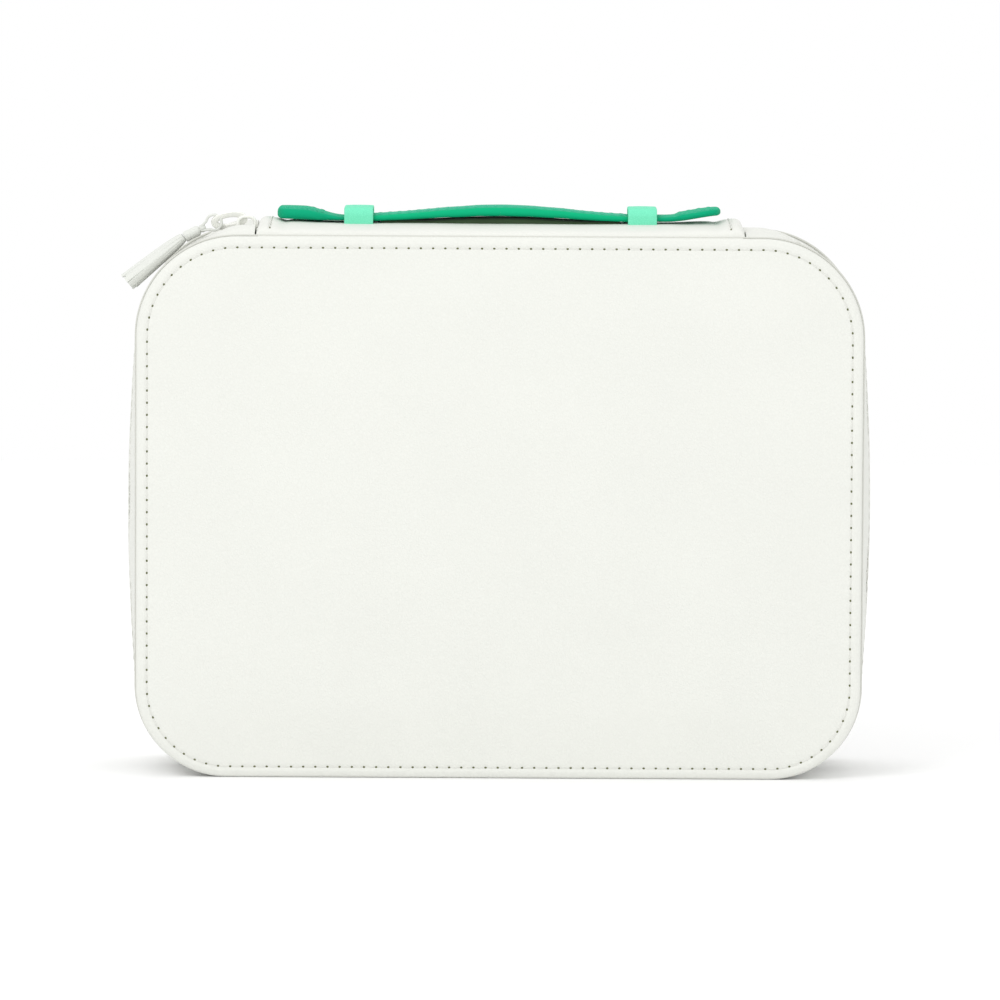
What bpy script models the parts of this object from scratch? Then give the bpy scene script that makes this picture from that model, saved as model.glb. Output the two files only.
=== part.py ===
"""Zip-around travel jewellery case with a top carrying strap and a tassel zip pull.

Frame: metres, +Z up, front facing -Y. The origin is under the middle of the case.
The back half is fixed. The spine along the top hinges on it, and the front half hinges
on the spine, so the case opens flat.
"""
import math

import bmesh
import bpy
from mathutils import Matrix, Vector

MM = 0.001

# Case, outside.
CASE_WIDTH = 247.0 * MM
CASE_HEIGHT = 184.6 * MM
CASE_DEPTH = 62.0 * MM
CORNER_RADIUS = 31.0 * MM
PANEL_THICKNESS = 3.0 * MM
PANEL_EDGE_ROUND = 0.9 * MM
GAP = 0.3 * MM

# Gusset, the wall between the two panels.
GUSSET_THICKNESS = 1.8 * MM
GUSSET_SEAM_INSET = 0.6 * MM
GUSSET_CROWN = 1.0 * MM
SIDE_BULGE = 5.5 * MM
BULGE_TOP_DROP = 12.0 * MM
BULGE_BOTTOM_RISE = 7.0 * MM
ZIP_CORNER_RADIUS = 36.0 * MM
ZIP_SIDE_INSET = 0.4 * MM
CORNER_STEPS = 8
SIDE_STEPS = 9

# Zip.
ZIP_OPENING = 9.0 * MM
TAPE_WIDTH = 7.0 * MM
TAPE_THICKNESS = 0.8 * MM
TEETH_ROW_WIDTH = 1.7 * MM
TEETH_THICKNESS = 2.4 * MM
TEETH_DEPTH = 1.0 * MM
SLIDER_LENGTH = 7.6 * MM
SLIDER_WIDTH = 6.0 * MM
SLIDER_NECK_WIDTH = 3.6 * MM
SLIDER_PLATE = 0.8 * MM
SLIDER_FOOT_CLEARANCE = 0.9 * MM
BRIDGE_HEIGHT = 3.8 * MM
BRIDGE_BAR = 0.9 * MM
BRIDGE_WIDTH = 1.6 * MM
BRIDGE_SLANT = 0.2
SPADE_SHOULDER = 0.3
SPADE_WAIST = 0.1
SPADE_TIP = 0.8

# Boards and linings.
BOARD_THICKNESS = 1.5 * MM
LINING_THICKNESS = 1.0 * MM
LINING_INSET = 3.4 * MM

# Spine, the panel along the top between the two hinges.
SPINE_RIDGE = 3.5 * MM
SPINE_EDGE_HEIGHT = 1.6 * MM
SPINE_FOLD_WIDTH = 4.7 * MM
SPINE_FOLD_HEIGHT = 5.3 * MM
SPINE_BOARD_INSET = 4.0 * MM
HINGE_STEP = 0.5 * MM

# Carrying strap.
STRAP_WIDTH = 18.0 * MM
STRAP_THICKNESS = 3.0 * MM
STRAP_RISE = 2.4 * MM
LOOP_FROM_STRAP_END = 26.8 * MM
LOOP_LENGTH = 10.4 * MM
LOOP_HEIGHT = 5.7 * MM
LOOP_WALL = 1.2 * MM
STRAP_FLEX_LENGTH = 20.5 * MM
STRAP_END_MARGIN = 7.7 * MM
PADDLE_WIDTH = 23.0 * MM
PADDLE_THICKNESS = 4.7 * MM
TONGUE_THICKNESS = 3.9 * MM
PADDLE_ROUNDING = 0.62
PADDLE_FLARE = 4.0 * MM
TONGUE_LENGTH = 10.2 * MM
STRAP_EDGE_ROUND = 0.6 * MM

# Pull ring and tassel.
RING_LENGTH = 12.6 * MM
RING_WIDTH = 9.6 * MM
RING_BAND = 2.2 * MM
RING_PIVOT_SHIFT = 0.9 * MM
RING_PIVOT_RISE = 0.2 * MM
RING_EDGE_ROUND = 0.35 * MM
RING_STEPS = 28
RING_THICKNESS = 1.4 * MM
RING_TILT = math.radians(-22.0)
RING_SLOPE = math.radians(5.0)
LINK_HOLE_RADIUS = 1.95 * MM
LINK_WALL = 0.85 * MM
LINK_WIDTH = 1.8 * MM
LINK_LENGTH = 6.2 * MM
LINK_NECK = 0.75
COLLAR_RADIUS = 1.8 * MM
COLLAR_LENGTH = 4.6 * MM
COLLAR_SLOPE = math.radians(21.0)
FRINGE_LENGTH = 22.4 * MM
FRINGE_SLOPE = math.radians(36.5)
FRINGE_START_WIDTH = 5.6 * MM
FRINGE_END_WIDTH = 12.4 * MM
FRINGE_FLATNESS = 0.46

# Tray in the back half.
TRAY_INSET = 6.5 * MM
TRAY_WALL = 2.0 * MM
TRAY_DEPTH = 21.0 * MM
TRAY_CORNER_EASE = 11.0 * MM
DIVIDER_THICKNESS = 3.0 * MM
DIVIDER_DROP = 1.5 * MM
LONG_DIVIDER_HEIGHT = 98.0 * MM
SHORT_DIVIDER_SPACING = 76.0 * MM
ROLL_COUNT = 5
ROLL_DIAMETER = 13.0 * MM
ROLL_GAP = 1.6 * MM
SUEDE_EDGE_ROUND = 0.6 * MM

# Necklace tabs and pocket in the front half.
TAB_COUNT = 3
TAB_SPACING = 56.0 * MM
TAB_WIDTH = 14.0 * MM
TAB_LENGTH = 20.0 * MM
TAB_THICKNESS = 1.2 * MM
TAB_TOP = 142.0 * MM
TAB_ROUNDING = 0.3
PAD_WIDTH = 176.0 * MM
PAD_HEIGHT = 26.0 * MM
PAD_THICKNESS = 2.0 * MM
STUD_RADIUS = 3.0 * MM
STUD_HEIGHT = 0.7 * MM
POCKET_WIDTH = 196.0 * MM
POCKET_HEIGHT = 72.0 * MM
POCKET_BOTTOM = 12.0 * MM
POCKET_SPACE = 4.8 * MM
POCKET_WALL = 1.6 * MM

# Values worked out from the sizes above.
PANEL_INNER_Y = CASE_DEPTH / 2 - PANEL_THICKNESS
SHELL_Y = PANEL_INNER_Y - GAP
CORNER_SINK = (ZIP_CORNER_RADIUS - CORNER_RADIUS) * (math.sqrt(2.0) - 1.0)
GUSSET_EDGE_Y = SHELL_Y - GUSSET_THICKNESS * 2 * CORNER_SINK / SHELL_Y
ZIP_TOP = CASE_HEIGHT + GUSSET_CROWN
ZIP_HALF_WIDTH = CASE_WIDTH / 2 - ZIP_SIDE_INSET
ZIP_CENTRE_X = ZIP_HALF_WIDTH - ZIP_CORNER_RADIUS
SPINE_LENGTH = 2 * (ZIP_CENTRE_X - SLIDER_LENGTH / 2 - GAP)
RING_START_X = SPINE_LENGTH / 2 + HINGE_STEP
BOARD_Y = SHELL_Y - BOARD_THICKNESS
TRAY_CORNER_RADIUS = ZIP_CORNER_RADIUS - TRAY_CORNER_EASE
LINING_Y = BOARD_Y - GAP - LINING_THICKNESS
HANDLE_LENGTH = SPINE_LENGTH - 2 * STRAP_END_MARGIN
LOOP_SPACING = HANDLE_LENGTH - 2 * LOOP_FROM_STRAP_END
GRIP_LENGTH = LOOP_SPACING - 2 * STRAP_FLEX_LENGTH
SPINE_BASE_Z = CASE_HEIGHT + GAP
STRAP_BASE_Z = SPINE_BASE_Z + SPINE_RIDGE + GAP
LOOP_INNER_X = (LOOP_SPACING - LOOP_LENGTH) / 2
PIVOT_X = -ZIP_CENTRE_X - RING_PIVOT_SHIFT
PIVOT_Z = ZIP_TOP + SLIDER_PLATE + BRIDGE_HEIGHT / 2 + RING_PIVOT_RISE

# Axes in which an outline is drawn: local x, local y and the extrusion.
PLANE_XZ = Matrix(((1, 0, 0), (0, 0, -1), (0, 1, 0)))
PLANE_YZ = Matrix(((0, 0, 1), (1, 0, 0), (0, 1, 0)))
PLANE_XY = Matrix.Identity(3)

# Material finishes: colour, roughness, metallic.
FINISHES = {
    "white_leather": ((0.88, 0.89, 0.84), 0.5, 0.0),
    "mint_leather": ((0.23, 0.8, 0.53), 0.45, 0.0),
    "green_leather": ((0.004, 0.58, 0.32), 0.45, 0.0),
    "board": ((0.45, 0.42, 0.36), 0.8, 0.0),
    "suede": ((0.8, 0.79, 0.74), 0.9, 0.0),
    "tape": ((0.82, 0.83, 0.78), 0.8, 0.0),
    "teeth": ((0.86, 0.87, 0.82), 0.4, 0.0),
    "enamel": ((0.92, 0.93, 0.88), 0.25, 0.6),
    "steel": ((0.75, 0.75, 0.73), 0.25, 1.0),
}


def clear_scene():
    """Remove the objects that the open file starts with."""
    for obj in list(bpy.data.objects):
        bpy.data.objects.remove(obj, do_unlink=True)


def make_collection(name):
    """Return a new collection linked to the scene."""
    collection = bpy.data.collections.new(name)
    bpy.context.scene.collection.children.link(collection)
    return collection


def make_material(name, finish):
    """Return a Principled material with one of the named finishes."""
    colour, roughness, metallic = FINISHES[finish]
    material = bpy.data.materials.new(name)
    material.use_nodes = True
    shader = material.node_tree.nodes["Principled BSDF"]
    shader.inputs["Base Color"].default_value = (*colour, 1.0)
    shader.inputs["Roughness"].default_value = roughness
    shader.inputs["Metallic"].default_value = metallic
    return material


def finish_object(obj, collection, finish):
    """Put the object in its collection and give it its own material."""
    if obj.name not in collection.objects:
        collection.objects.link(obj)
    obj.data.materials.clear()
    obj.data.materials.append(make_material(obj.name, finish))
    obj.data.shade_smooth()
    obj.data.set_sharp_from_angle(angle=math.radians(35.0))
    return obj


def mesh_object(name, bm, collection, finish):
    """Turn a bmesh into a finished object."""
    mesh = bpy.data.meshes.new(name)
    bm.to_mesh(mesh)
    bm.free()
    return finish_object(bpy.data.objects.new(name, mesh), collection, finish)


def mesh_from_object(source):
    """Return the evaluated mesh of an object in world space, with loose caps welded."""
    bpy.context.scene.collection.objects.link(source)
    bpy.context.view_layer.update()
    evaluated = source.evaluated_get(bpy.context.evaluated_depsgraph_get())
    mesh = bpy.data.meshes.new_from_object(evaluated)
    mesh.transform(source.matrix_world)
    bm = bmesh.new()
    bm.from_mesh(mesh)
    bmesh.ops.remove_doubles(bm, verts=bm.verts, dist=0.01 * MM)
    bmesh.ops.recalc_face_normals(bm, faces=bm.faces)
    bpy.data.meshes.remove(mesh)
    bpy.data.objects.remove(source, do_unlink=True)
    return bm


def extruded(name, outlines, plane, centre, thickness, collection, finish, edge=0.0):
    """Extrude closed outlines, the first the outer one, to both sides of a centre point."""
    curve = bpy.data.curves.new(name, "CURVE")
    curve.dimensions = "2D"
    curve.fill_mode = "BOTH"
    curve.extrude = thickness / 2 - edge
    curve.bevel_depth = edge
    curve.bevel_resolution = 1
    curve.offset = -edge
    for outline in outlines:
        spline = curve.splines.new("POLY")
        spline.points.add(len(outline) - 1)
        for point, (x, y) in zip(spline.points, outline):
            point.co = (x, y, 0.0, 1.0)
        spline.use_cyclic_u = True
    source = bpy.data.objects.new(name + "_outline", curve)
    source.matrix_world = Matrix.Translation(centre) @ plane.to_4x4()
    return mesh_object(name, mesh_from_object(source), collection, finish)


def arc(centre, radius, start, end, steps):
    """Points along an arc, with both ends; angles in degrees."""
    angles = [math.radians(start + (end - start) * i / steps) for i in range(steps + 1)]
    return [(centre[0] + radius * math.cos(a), centre[1] + radius * math.sin(a)) for a in angles]


def rounded_rectangle(half_width, bottom, top, radius, steps=CORNER_STEPS):
    """Closed outline of a rectangle with equal round corners, anticlockwise."""
    x = half_width - radius
    points = arc((x, top - radius), radius, 0, 90, steps)
    points += arc((-x, top - radius), radius, 90, 180, steps)
    points += arc((-x, bottom + radius), radius, 180, 270, steps)
    points += arc((x, bottom + radius), radius, 270, 360, steps)
    return points


def block(name, low, high, collection, finish, edge=0.0):
    """A box between two corners, with its edges rounded."""
    bm = bmesh.new()
    bmesh.ops.create_cube(bm, size=1.0)
    size = Vector(high) - Vector(low)
    bmesh.ops.scale(bm, vec=size, verts=bm.verts)
    bmesh.ops.translate(bm, vec=(Vector(low) + Vector(high)) / 2, verts=bm.verts)
    obj = mesh_object(name, bm, collection, finish)
    if edge:
        bevel = obj.modifiers.new("rounded_edges", "BEVEL")
        bevel.width = edge
        bevel.segments = 2
        bevel.limit_method = "ANGLE"
    return obj


def rod(name, start, end, radius, end_radius, collection, finish, flatness=1.0, segments=24):
    """A round or flattened rod from start to end; flatness squeezes it across the Y axis."""
    start = Vector(start)
    along = Vector(end) - start
    bm = bmesh.new()
    bmesh.ops.create_cone(bm, cap_ends=True, segments=segments, radius1=radius,
                          radius2=end_radius, depth=along.length)
    bmesh.ops.scale(bm, vec=(flatness, 1.0, 1.0), verts=bm.verts)
    turn = Matrix.Rotation(math.atan2(along.x, along.z), 3, "Y")
    if along.y:
        turn = Vector((0, 0, 1)).rotation_difference(along).to_matrix()
    bmesh.ops.rotate(bm, cent=(0, 0, 0), matrix=turn, verts=bm.verts)
    bmesh.ops.translate(bm, vec=start + along / 2, verts=bm.verts)
    return mesh_object(name, bm, collection, finish)


def combine_solids(target, tool, operation):
    """Unite a second solid with the first, or cut it away, and remove the second."""
    change = target.modifiers.new("combine", "BOOLEAN")
    change.operation = operation
    change.solver = "EXACT"
    change.object = tool
    bpy.context.view_layer.update()
    evaluated = target.evaluated_get(bpy.context.evaluated_depsgraph_get())
    mesh = bpy.data.meshes.new_from_object(evaluated)
    target.modifiers.clear()
    old = target.data
    target.data = mesh
    bpy.data.meshes.remove(old)
    bpy.data.objects.remove(tool, do_unlink=True)
    return target


def half_ring(half_width, top, top_radius, bottom_radius):
    """Left half of the open ring: from the spine's end over the corner to the bottom's middle."""
    points = [(-RING_START_X, top)]
    points += arc((top_radius - half_width, top - top_radius), top_radius, 90, 180, CORNER_STEPS)
    side = top - top_radius - bottom_radius
    for i in range(1, SIDE_STEPS):
        points.append((-half_width, bottom_radius + side * (1 - i / SIDE_STEPS)))
    points += arc((bottom_radius - half_width, bottom_radius), bottom_radius, 180, 270,
                  CORNER_STEPS)
    points.append((0.0, 0.0))
    return points


def side_bulge(z):
    """How far the soft side stands out at height z."""
    low = BULGE_BOTTOM_RISE
    high = CASE_HEIGHT - BULGE_TOP_DROP
    share = min(max((z - low) / (high - low), 0.0), 1.0)
    return SIDE_BULGE * math.sin(math.pi * share)


def wall_outlines():
    """The ring's outline at the panel seam and at the zip, each with one point per station."""
    seam_half = CASE_WIDTH / 2 - GUSSET_SEAM_INSET
    seam_top = CASE_HEIGHT - GUSSET_SEAM_INSET
    seam_radius = CORNER_RADIUS - GUSSET_SEAM_INSET
    seam = half_ring(seam_half, seam_top, seam_radius, seam_radius)
    zip_line = half_ring(ZIP_HALF_WIDTH, ZIP_TOP, ZIP_CORNER_RADIUS, CORNER_RADIUS)
    zip_line = [(x - side_bulge(z), z) if x < -RING_START_X else (x, z) for x, z in zip_line]
    mirrored = []
    for half in (seam, zip_line):
        mirrored.append(half + [(-x, z) for x, z in reversed(half[:-1])])
    return mirrored


def ring_strip(name, y_start, y_end, rows, depth, thickness, collection, finish):
    """A strip of the case wall between two depths; depth is how far it lies below the surface."""
    seam, zip_line = wall_outlines()
    stations = len(seam)
    bm = bmesh.new()
    bmesh.ops.create_grid(bm, x_segments=stations - 1, y_segments=rows, size=1.0)
    bm.verts.ensure_lookup_table()
    ordered = sorted(bm.verts, key=lambda v: (round(v.co.y, 5), round(v.co.x, 5)))
    for index, vert in enumerate(ordered):
        row, station = divmod(index, stations)
        y = y_start + (y_end - y_start) * row / rows
        share = (y / GUSSET_EDGE_Y) ** 2
        (x0, z0), (x1, z1) = seam[station], zip_line[station]
        vert.co = (x0 * share + x1 * (1 - share), y, z0 * share + z1 * (1 - share))
    bm.normal_update()
    bmesh.ops.recalc_face_normals(bm, faces=bm.faces)
    middle = min(bm.faces, key=lambda f: f.calc_center_median().z)
    if middle.normal.z > 0:
        bmesh.ops.reverse_faces(bm, faces=bm.faces)
    bm.normal_update()
    if depth:
        shifts = [(v, v.normal.copy()) for v in bm.verts]
        for vert, normal in shifts:
            flat = Vector((normal.x, 0.0, normal.z)).normalized()
            vert.co -= flat * depth
    obj = mesh_object(name, bm, collection, finish)
    solid = obj.modifiers.new("wall", "SOLIDIFY")
    solid.thickness = thickness
    solid.offset = -1.0
    solid.use_even_offset = True
    return obj


def half_shell(side, label, collection):
    """One half of the case: side is -1 for the front and 1 for the back. Returns its pieces."""
    outline = rounded_rectangle(CASE_WIDTH / 2, 0.0, CASE_HEIGHT, CORNER_RADIUS)
    inner_half = CASE_WIDTH / 2 - LINING_INSET
    inner = rounded_rectangle(inner_half, LINING_INSET, CASE_HEIGHT - LINING_INSET,
                              CORNER_RADIUS - LINING_INSET)
    panel_y = side * (PANEL_INNER_Y + PANEL_THICKNESS / 2)
    board_y = side * (BOARD_Y + BOARD_THICKNESS / 2)
    lining_y = side * (LINING_Y + LINING_THICKNESS / 2)
    pieces = [
        extruded(label + "_panel", [outline], PLANE_XZ, (0, panel_y, 0), PANEL_THICKNESS,
                 collection, "white_leather", PANEL_EDGE_ROUND),
        extruded(label + "_board", [inner], PLANE_XZ, (0, board_y, 0), BOARD_THICKNESS,
                 collection, "board"),
        extruded(label + "_lining", [inner], PLANE_XZ, (0, lining_y, 0), LINING_THICKNESS,
                 collection, "suede"),
        ring_strip(label + "_gusset", side * GUSSET_EDGE_Y, side * ZIP_OPENING / 2, 4, 0.0,
                   GUSSET_THICKNESS, collection, "white_leather"),
    ]
    tape_start = TEETH_ROW_WIDTH + 2 * GAP
    pieces.append(ring_strip(label + "_zipper_tape", side * (tape_start + TAPE_WIDTH),
                             side * tape_start, 1, GUSSET_THICKNESS + GAP, TAPE_THICKNESS,
                             collection, "tape"))
    pieces.append(ring_strip(label + "_zipper_teeth", side * (GAP / 2 + TEETH_ROW_WIDTH),
                             side * GAP / 2, 1, TEETH_DEPTH, TEETH_THICKNESS,
                             collection, "teeth"))
    return pieces


def tray_pieces(collection):
    """The tray in the back half: a rim, its dividers and the ring rolls."""
    y_back = LINING_Y - GAP
    y_front = y_back - TRAY_DEPTH
    half_width = CASE_WIDTH / 2 - TRAY_INSET
    low = TRAY_INSET
    high = CASE_HEIGHT - TRAY_INSET
    outer = rounded_rectangle(half_width, low, high, TRAY_CORNER_RADIUS)
    inner = rounded_rectangle(half_width - TRAY_WALL, low + TRAY_WALL, high - TRAY_WALL,
                              TRAY_CORNER_RADIUS - TRAY_WALL)
    pieces = [extruded("tray_rim", [outer, inner], PLANE_XZ, (0, (y_back + y_front) / 2, 0),
                       TRAY_DEPTH, collection, "suede", SUEDE_EDGE_ROUND)]
    reach = half_width - TRAY_WALL - GAP
    y_low = y_front + DIVIDER_DROP
    half = DIVIDER_THICKNESS / 2
    shelf = LONG_DIVIDER_HEIGHT
    floor = low + TRAY_WALL + GAP
    ceiling = high - TRAY_WALL - GAP
    pieces.append(block("long_divider", (-reach, y_low, shelf - half),
                        (reach, y_back, shelf + half), collection, "suede", SUEDE_EDGE_ROUND))
    for index, x in enumerate((-SHORT_DIVIDER_SPACING / 2, SHORT_DIVIDER_SPACING / 2)):
        pieces.append(block("upper_divider_%d" % (index + 1), (x - half, y_low, shelf + half + GAP),
                            (x + half, y_back, ceiling), collection, "suede", SUEDE_EDGE_ROUND))
    pieces.append(block("lower_divider", (-half, y_low, floor), (half, y_back, shelf - half - GAP),
                        collection, "suede", SUEDE_EDGE_ROUND))
    pitch = ROLL_DIAMETER + ROLL_GAP
    start = (floor + shelf - half) / 2 - pitch * (ROLL_COUNT - 1) / 2
    roll_y = y_back - ROLL_DIAMETER / 2 - GAP
    corner_clearance = TRAY_CORNER_RADIUS * (1 - math.sqrt(0.5))
    for index in range(ROLL_COUNT):
        z = start + index * pitch
        pieces.append(rod("ring_roll_%d" % (index + 1), (half + 2 * GAP, roll_y, z),
                          (reach - corner_clearance, roll_y, z), ROLL_DIAMETER / 2,
                          ROLL_DIAMETER / 2, collection, "suede"))
    return pieces


def lid_pieces(collection):
    """What is sewn to the front half's lining: the necklace pad, its studs and the pocket."""
    pad_y = -(LINING_Y - GAP)
    pad = block("necklace_pad", (-PAD_WIDTH / 2, pad_y, TAB_TOP - PAD_HEIGHT),
                (PAD_WIDTH / 2, pad_y + PAD_THICKNESS, TAB_TOP), collection, "suede", SUEDE_EDGE_ROUND)
    pieces = [pad]
    stud_y = pad_y + PAD_THICKNESS + GAP
    stud_z = TAB_TOP - TAB_LENGTH + 2 * STUD_RADIUS
    for index in range(TAB_COUNT):
        x = (index - (TAB_COUNT - 1) / 2) * TAB_SPACING
        pieces.append(rod("snap_stud_%d" % (index + 1), (x, stud_y, stud_z),
                          (x, stud_y + STUD_HEIGHT, stud_z), STUD_RADIUS, STUD_RADIUS,
                          collection, "steel"))
    half = POCKET_WIDTH / 2
    top = POCKET_BOTTOM + POCKET_HEIGHT
    front_y = pad_y + POCKET_SPACE + POCKET_WALL
    pocket = block("lid_pocket", (-half, pad_y, POCKET_BOTTOM), (half, front_y, top),
                   collection, "suede")
    hollow = block("pocket_hollow", (POCKET_WALL - half, pad_y - POCKET_WALL,
                                     POCKET_BOTTOM + POCKET_WALL),
                   (half - POCKET_WALL, front_y - POCKET_WALL, top + POCKET_WALL),
                   collection, "suede")
    pieces.append(combine_solids(pocket, hollow, "DIFFERENCE"))
    return pieces


def necklace_tabs(collection):
    """The tabs that close over the necklace chains. Returns each with its hinge point."""
    pad_y = -(LINING_Y - GAP)
    y = pad_y + PAD_THICKNESS + STUD_HEIGHT + 2 * GAP
    outline = rounded_rectangle(TAB_WIDTH / 2, TAB_TOP - TAB_LENGTH, TAB_TOP,
                                TAB_WIDTH * TAB_ROUNDING, 4)
    tabs = []
    for index in range(TAB_COUNT):
        x = (index - (TAB_COUNT - 1) / 2) * TAB_SPACING
        tab = extruded("necklace_tab_%d" % (index + 1), [outline], PLANE_XZ,
                       (x, y + TAB_THICKNESS / 2, 0), TAB_THICKNESS, collection, "suede")
        tabs.append((tab, Vector((x, y + TAB_THICKNESS / 2, TAB_TOP))))
    return tabs


def spine_pieces(collection):
    """The spine: its padded cover, folded ends, board, lining and the strap's loops."""
    half_depth = SHELL_Y
    crown = SPINE_RIDGE - SPINE_EDGE_HEIGHT
    steps = 12
    top = []
    for i in range(steps + 1):
        y = half_depth * (1 - 2 * i / steps)
        top.append((y, SPINE_EDGE_HEIGHT + crown * (1 - (y / half_depth) ** 2)))
    section = [(-half_depth, 0.0), (half_depth, 0.0)] + top
    cover_length = SPINE_LENGTH - 2 * (SPINE_FOLD_WIDTH + GAP)
    pieces = [extruded("spine_panel", [section], PLANE_YZ, (0, 0, SPINE_BASE_Z), cover_length,
                       collection, "white_leather")]
    half_fold = SPINE_FOLD_WIDTH / 2
    shoulder = SPINE_FOLD_HEIGHT - half_fold
    fold = [(-half_fold, 0.0), (half_fold, 0.0)] + arc((0.0, shoulder), half_fold, 0, 180, 8)
    for label, side in (("left", -1), ("right", 1)):
        x = side * (SPINE_LENGTH / 2 - half_fold)
        pieces.append(extruded("spine_fold_" + label, [fold], PLANE_XZ, (x, 0, SPINE_BASE_Z),
                               2 * half_depth, collection, "white_leather", STRAP_EDGE_ROUND))
    board_half = SPINE_LENGTH / 2 - SPINE_BOARD_INSET
    board_y = half_depth - SPINE_BOARD_INSET / 3
    board_top = SPINE_BASE_Z - GAP
    board_low = board_top - BOARD_THICKNESS
    lining_top = board_low - GAP
    pieces.append(block("spine_board", (-board_half, -board_y, board_low),
                        (board_half, board_y, board_top), collection, "board"))
    pieces.append(block("spine_lining", (-board_half, -LINING_Y + GAP, lining_top - LINING_THICKNESS),
                        (board_half, LINING_Y - GAP, lining_top), collection, "suede"))
    return pieces


def strap_loops(collection):
    """The two loops that hold the strap on the spine."""
    inner_half = STRAP_WIDTH / 2 + 2 * GAP
    outer_half = inner_half + LOOP_WALL
    inner_top = LOOP_HEIGHT - LOOP_WALL
    section = [(outer_half, 0.0)]
    section += arc((outer_half - LOOP_WALL, LOOP_HEIGHT - LOOP_WALL), LOOP_WALL, 0, 90, 4)
    section += arc((LOOP_WALL - outer_half, LOOP_HEIGHT - LOOP_WALL), LOOP_WALL, 90, 180, 4)
    section += [(-outer_half, 0.0), (-inner_half, 0.0), (-inner_half, inner_top),
                (inner_half, inner_top), (inner_half, 0.0)]
    loops = []
    for label, side in (("left", -1), ("right", 1)):
        centre = (side * LOOP_SPACING / 2, 0, STRAP_BASE_Z)
        loops.append(extruded("strap_loop_" + label, [section], PLANE_YZ, centre, LOOP_LENGTH,
                              collection, "mint_leather"))
    return loops


def strap_height(x):
    """Height of the strap's underside above its rest on the spine, at distance x from the middle."""
    share = min(max((LOOP_INNER_X - abs(x)) / (LOOP_INNER_X - GRIP_LENGTH / 4), 0.0), 1.0)
    return STRAP_RISE * (1 - math.cos(math.pi * share)) / 2


def strap_length(name, x_start, x_end, steps, collection):
    """A stretch of the strap between two places along X."""
    xs = [x_start + (x_end - x_start) * i / steps for i in range(steps + 1)]
    under = [(x, strap_height(x)) for x in xs]
    over = [(x, z + STRAP_THICKNESS) for x, z in reversed(under)]
    base = STRAP_BASE_Z + GAP
    return extruded(name, [under + over], PLANE_XZ, (0, 0, base), STRAP_WIDTH, collection,
                    "green_leather", STRAP_EDGE_ROUND)


def strap_end(name, side, collection):
    """A strap end: a tongue that runs in the loop, and a wider stitched paddle."""
    inner_x = LOOP_SPACING / 2 + GAP
    paddle_x = inner_x + TONGUE_LENGTH
    outer_x = HANDLE_LENGTH / 2
    tongue_half = STRAP_WIDTH / 2
    paddle_half = PADDLE_WIDTH / 2
    radius = paddle_half * PADDLE_ROUNDING
    flare = paddle_x + PADDLE_FLARE
    outline = [(paddle_x, tongue_half), (paddle_x, -tongue_half), (flare, -paddle_half)]
    outline += arc((outer_x - radius, radius - paddle_half), radius, 270, 360, 5)
    outline += arc((outer_x - radius, paddle_half - radius), radius, 0, 90, 5)
    outline.append((flare, paddle_half))
    outline = [(side * x, y) for x, y in outline]
    if side < 0:
        outline.reverse()
    base = STRAP_BASE_Z + GAP / 2
    paddle = extruded(name, [outline], PLANE_XY, (0, 0, base + PADDLE_THICKNESS / 2),
                      PADDLE_THICKNESS, collection, "green_leather", STRAP_EDGE_ROUND)
    near, far = sorted((side * inner_x, side * (paddle_x + PADDLE_FLARE)))
    low = base + GAP / 2
    tongue = block(name + "_tongue", (near, -tongue_half, low),
                   (far, tongue_half, low + TONGUE_THICKNESS), collection, "green_leather",
                   STRAP_EDGE_ROUND)
    return combine_solids(paddle, tongue, "UNION")


def slider_pieces(collection):
    """The zip slider: a top plate with the bridge for the ring, and the foot under the teeth."""
    x = -ZIP_CENTRE_X
    half = SLIDER_LENGTH / 2
    plate = SLIDER_PLATE
    bar_top = plate + BRIDGE_HEIGHT + BRIDGE_BAR
    outline = [(-half, 0.0), (half, 0.0), (half, plate), (half - BRIDGE_BAR / 2, bar_top),
               (BRIDGE_BAR / 2 - half, bar_top), (-half, plate)]
    window_low = half - BRIDGE_BAR
    window_high = half - BRIDGE_BAR * (1 + BRIDGE_SLANT)
    window_top = bar_top - BRIDGE_BAR
    window = [(-window_low, plate), (-window_high, window_top), (window_high, window_top),
              (window_low, plate)]
    bridge = extruded("zipper_slider", [outline, window], PLANE_XZ, (x, 0, ZIP_TOP + GAP),
                      BRIDGE_WIDTH, collection, "enamel")
    wide = SLIDER_WIDTH / 2
    neck = SLIDER_NECK_WIDTH / 2
    shoulder_x = half * SPADE_SHOULDER
    waist_x = -half * SPADE_WAIST
    tip = neck * SPADE_TIP
    spade = [(-half, -tip), (waist_x, -neck), (shoulder_x, -wide), (half, -wide),
             (half, wide), (shoulder_x, wide), (waist_x, neck), (-half, tip)]
    wing = extruded("slider_wing", [spade], PLANE_XY, (x, 0, ZIP_TOP + GAP + plate / 2), plate,
                    collection, "enamel")
    bridge = combine_solids(bridge, wing, "UNION")
    foot_top = ZIP_TOP - TEETH_DEPTH - TEETH_THICKNESS - SLIDER_FOOT_CLEARANCE
    foot = block("slider_foot", (x - half, GAP, foot_top - SLIDER_PLATE),
                 (x + half, SLIDER_WIDTH / 2, foot_top), collection, "enamel")
    return [bridge, foot]


def oval(length, width, steps):
    """Closed outline of an ellipse."""
    angles = [2 * math.pi * i / steps for i in range(steps)]
    return [(length / 2 * math.cos(a), width / 2 * math.sin(a)) for a in angles]


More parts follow.
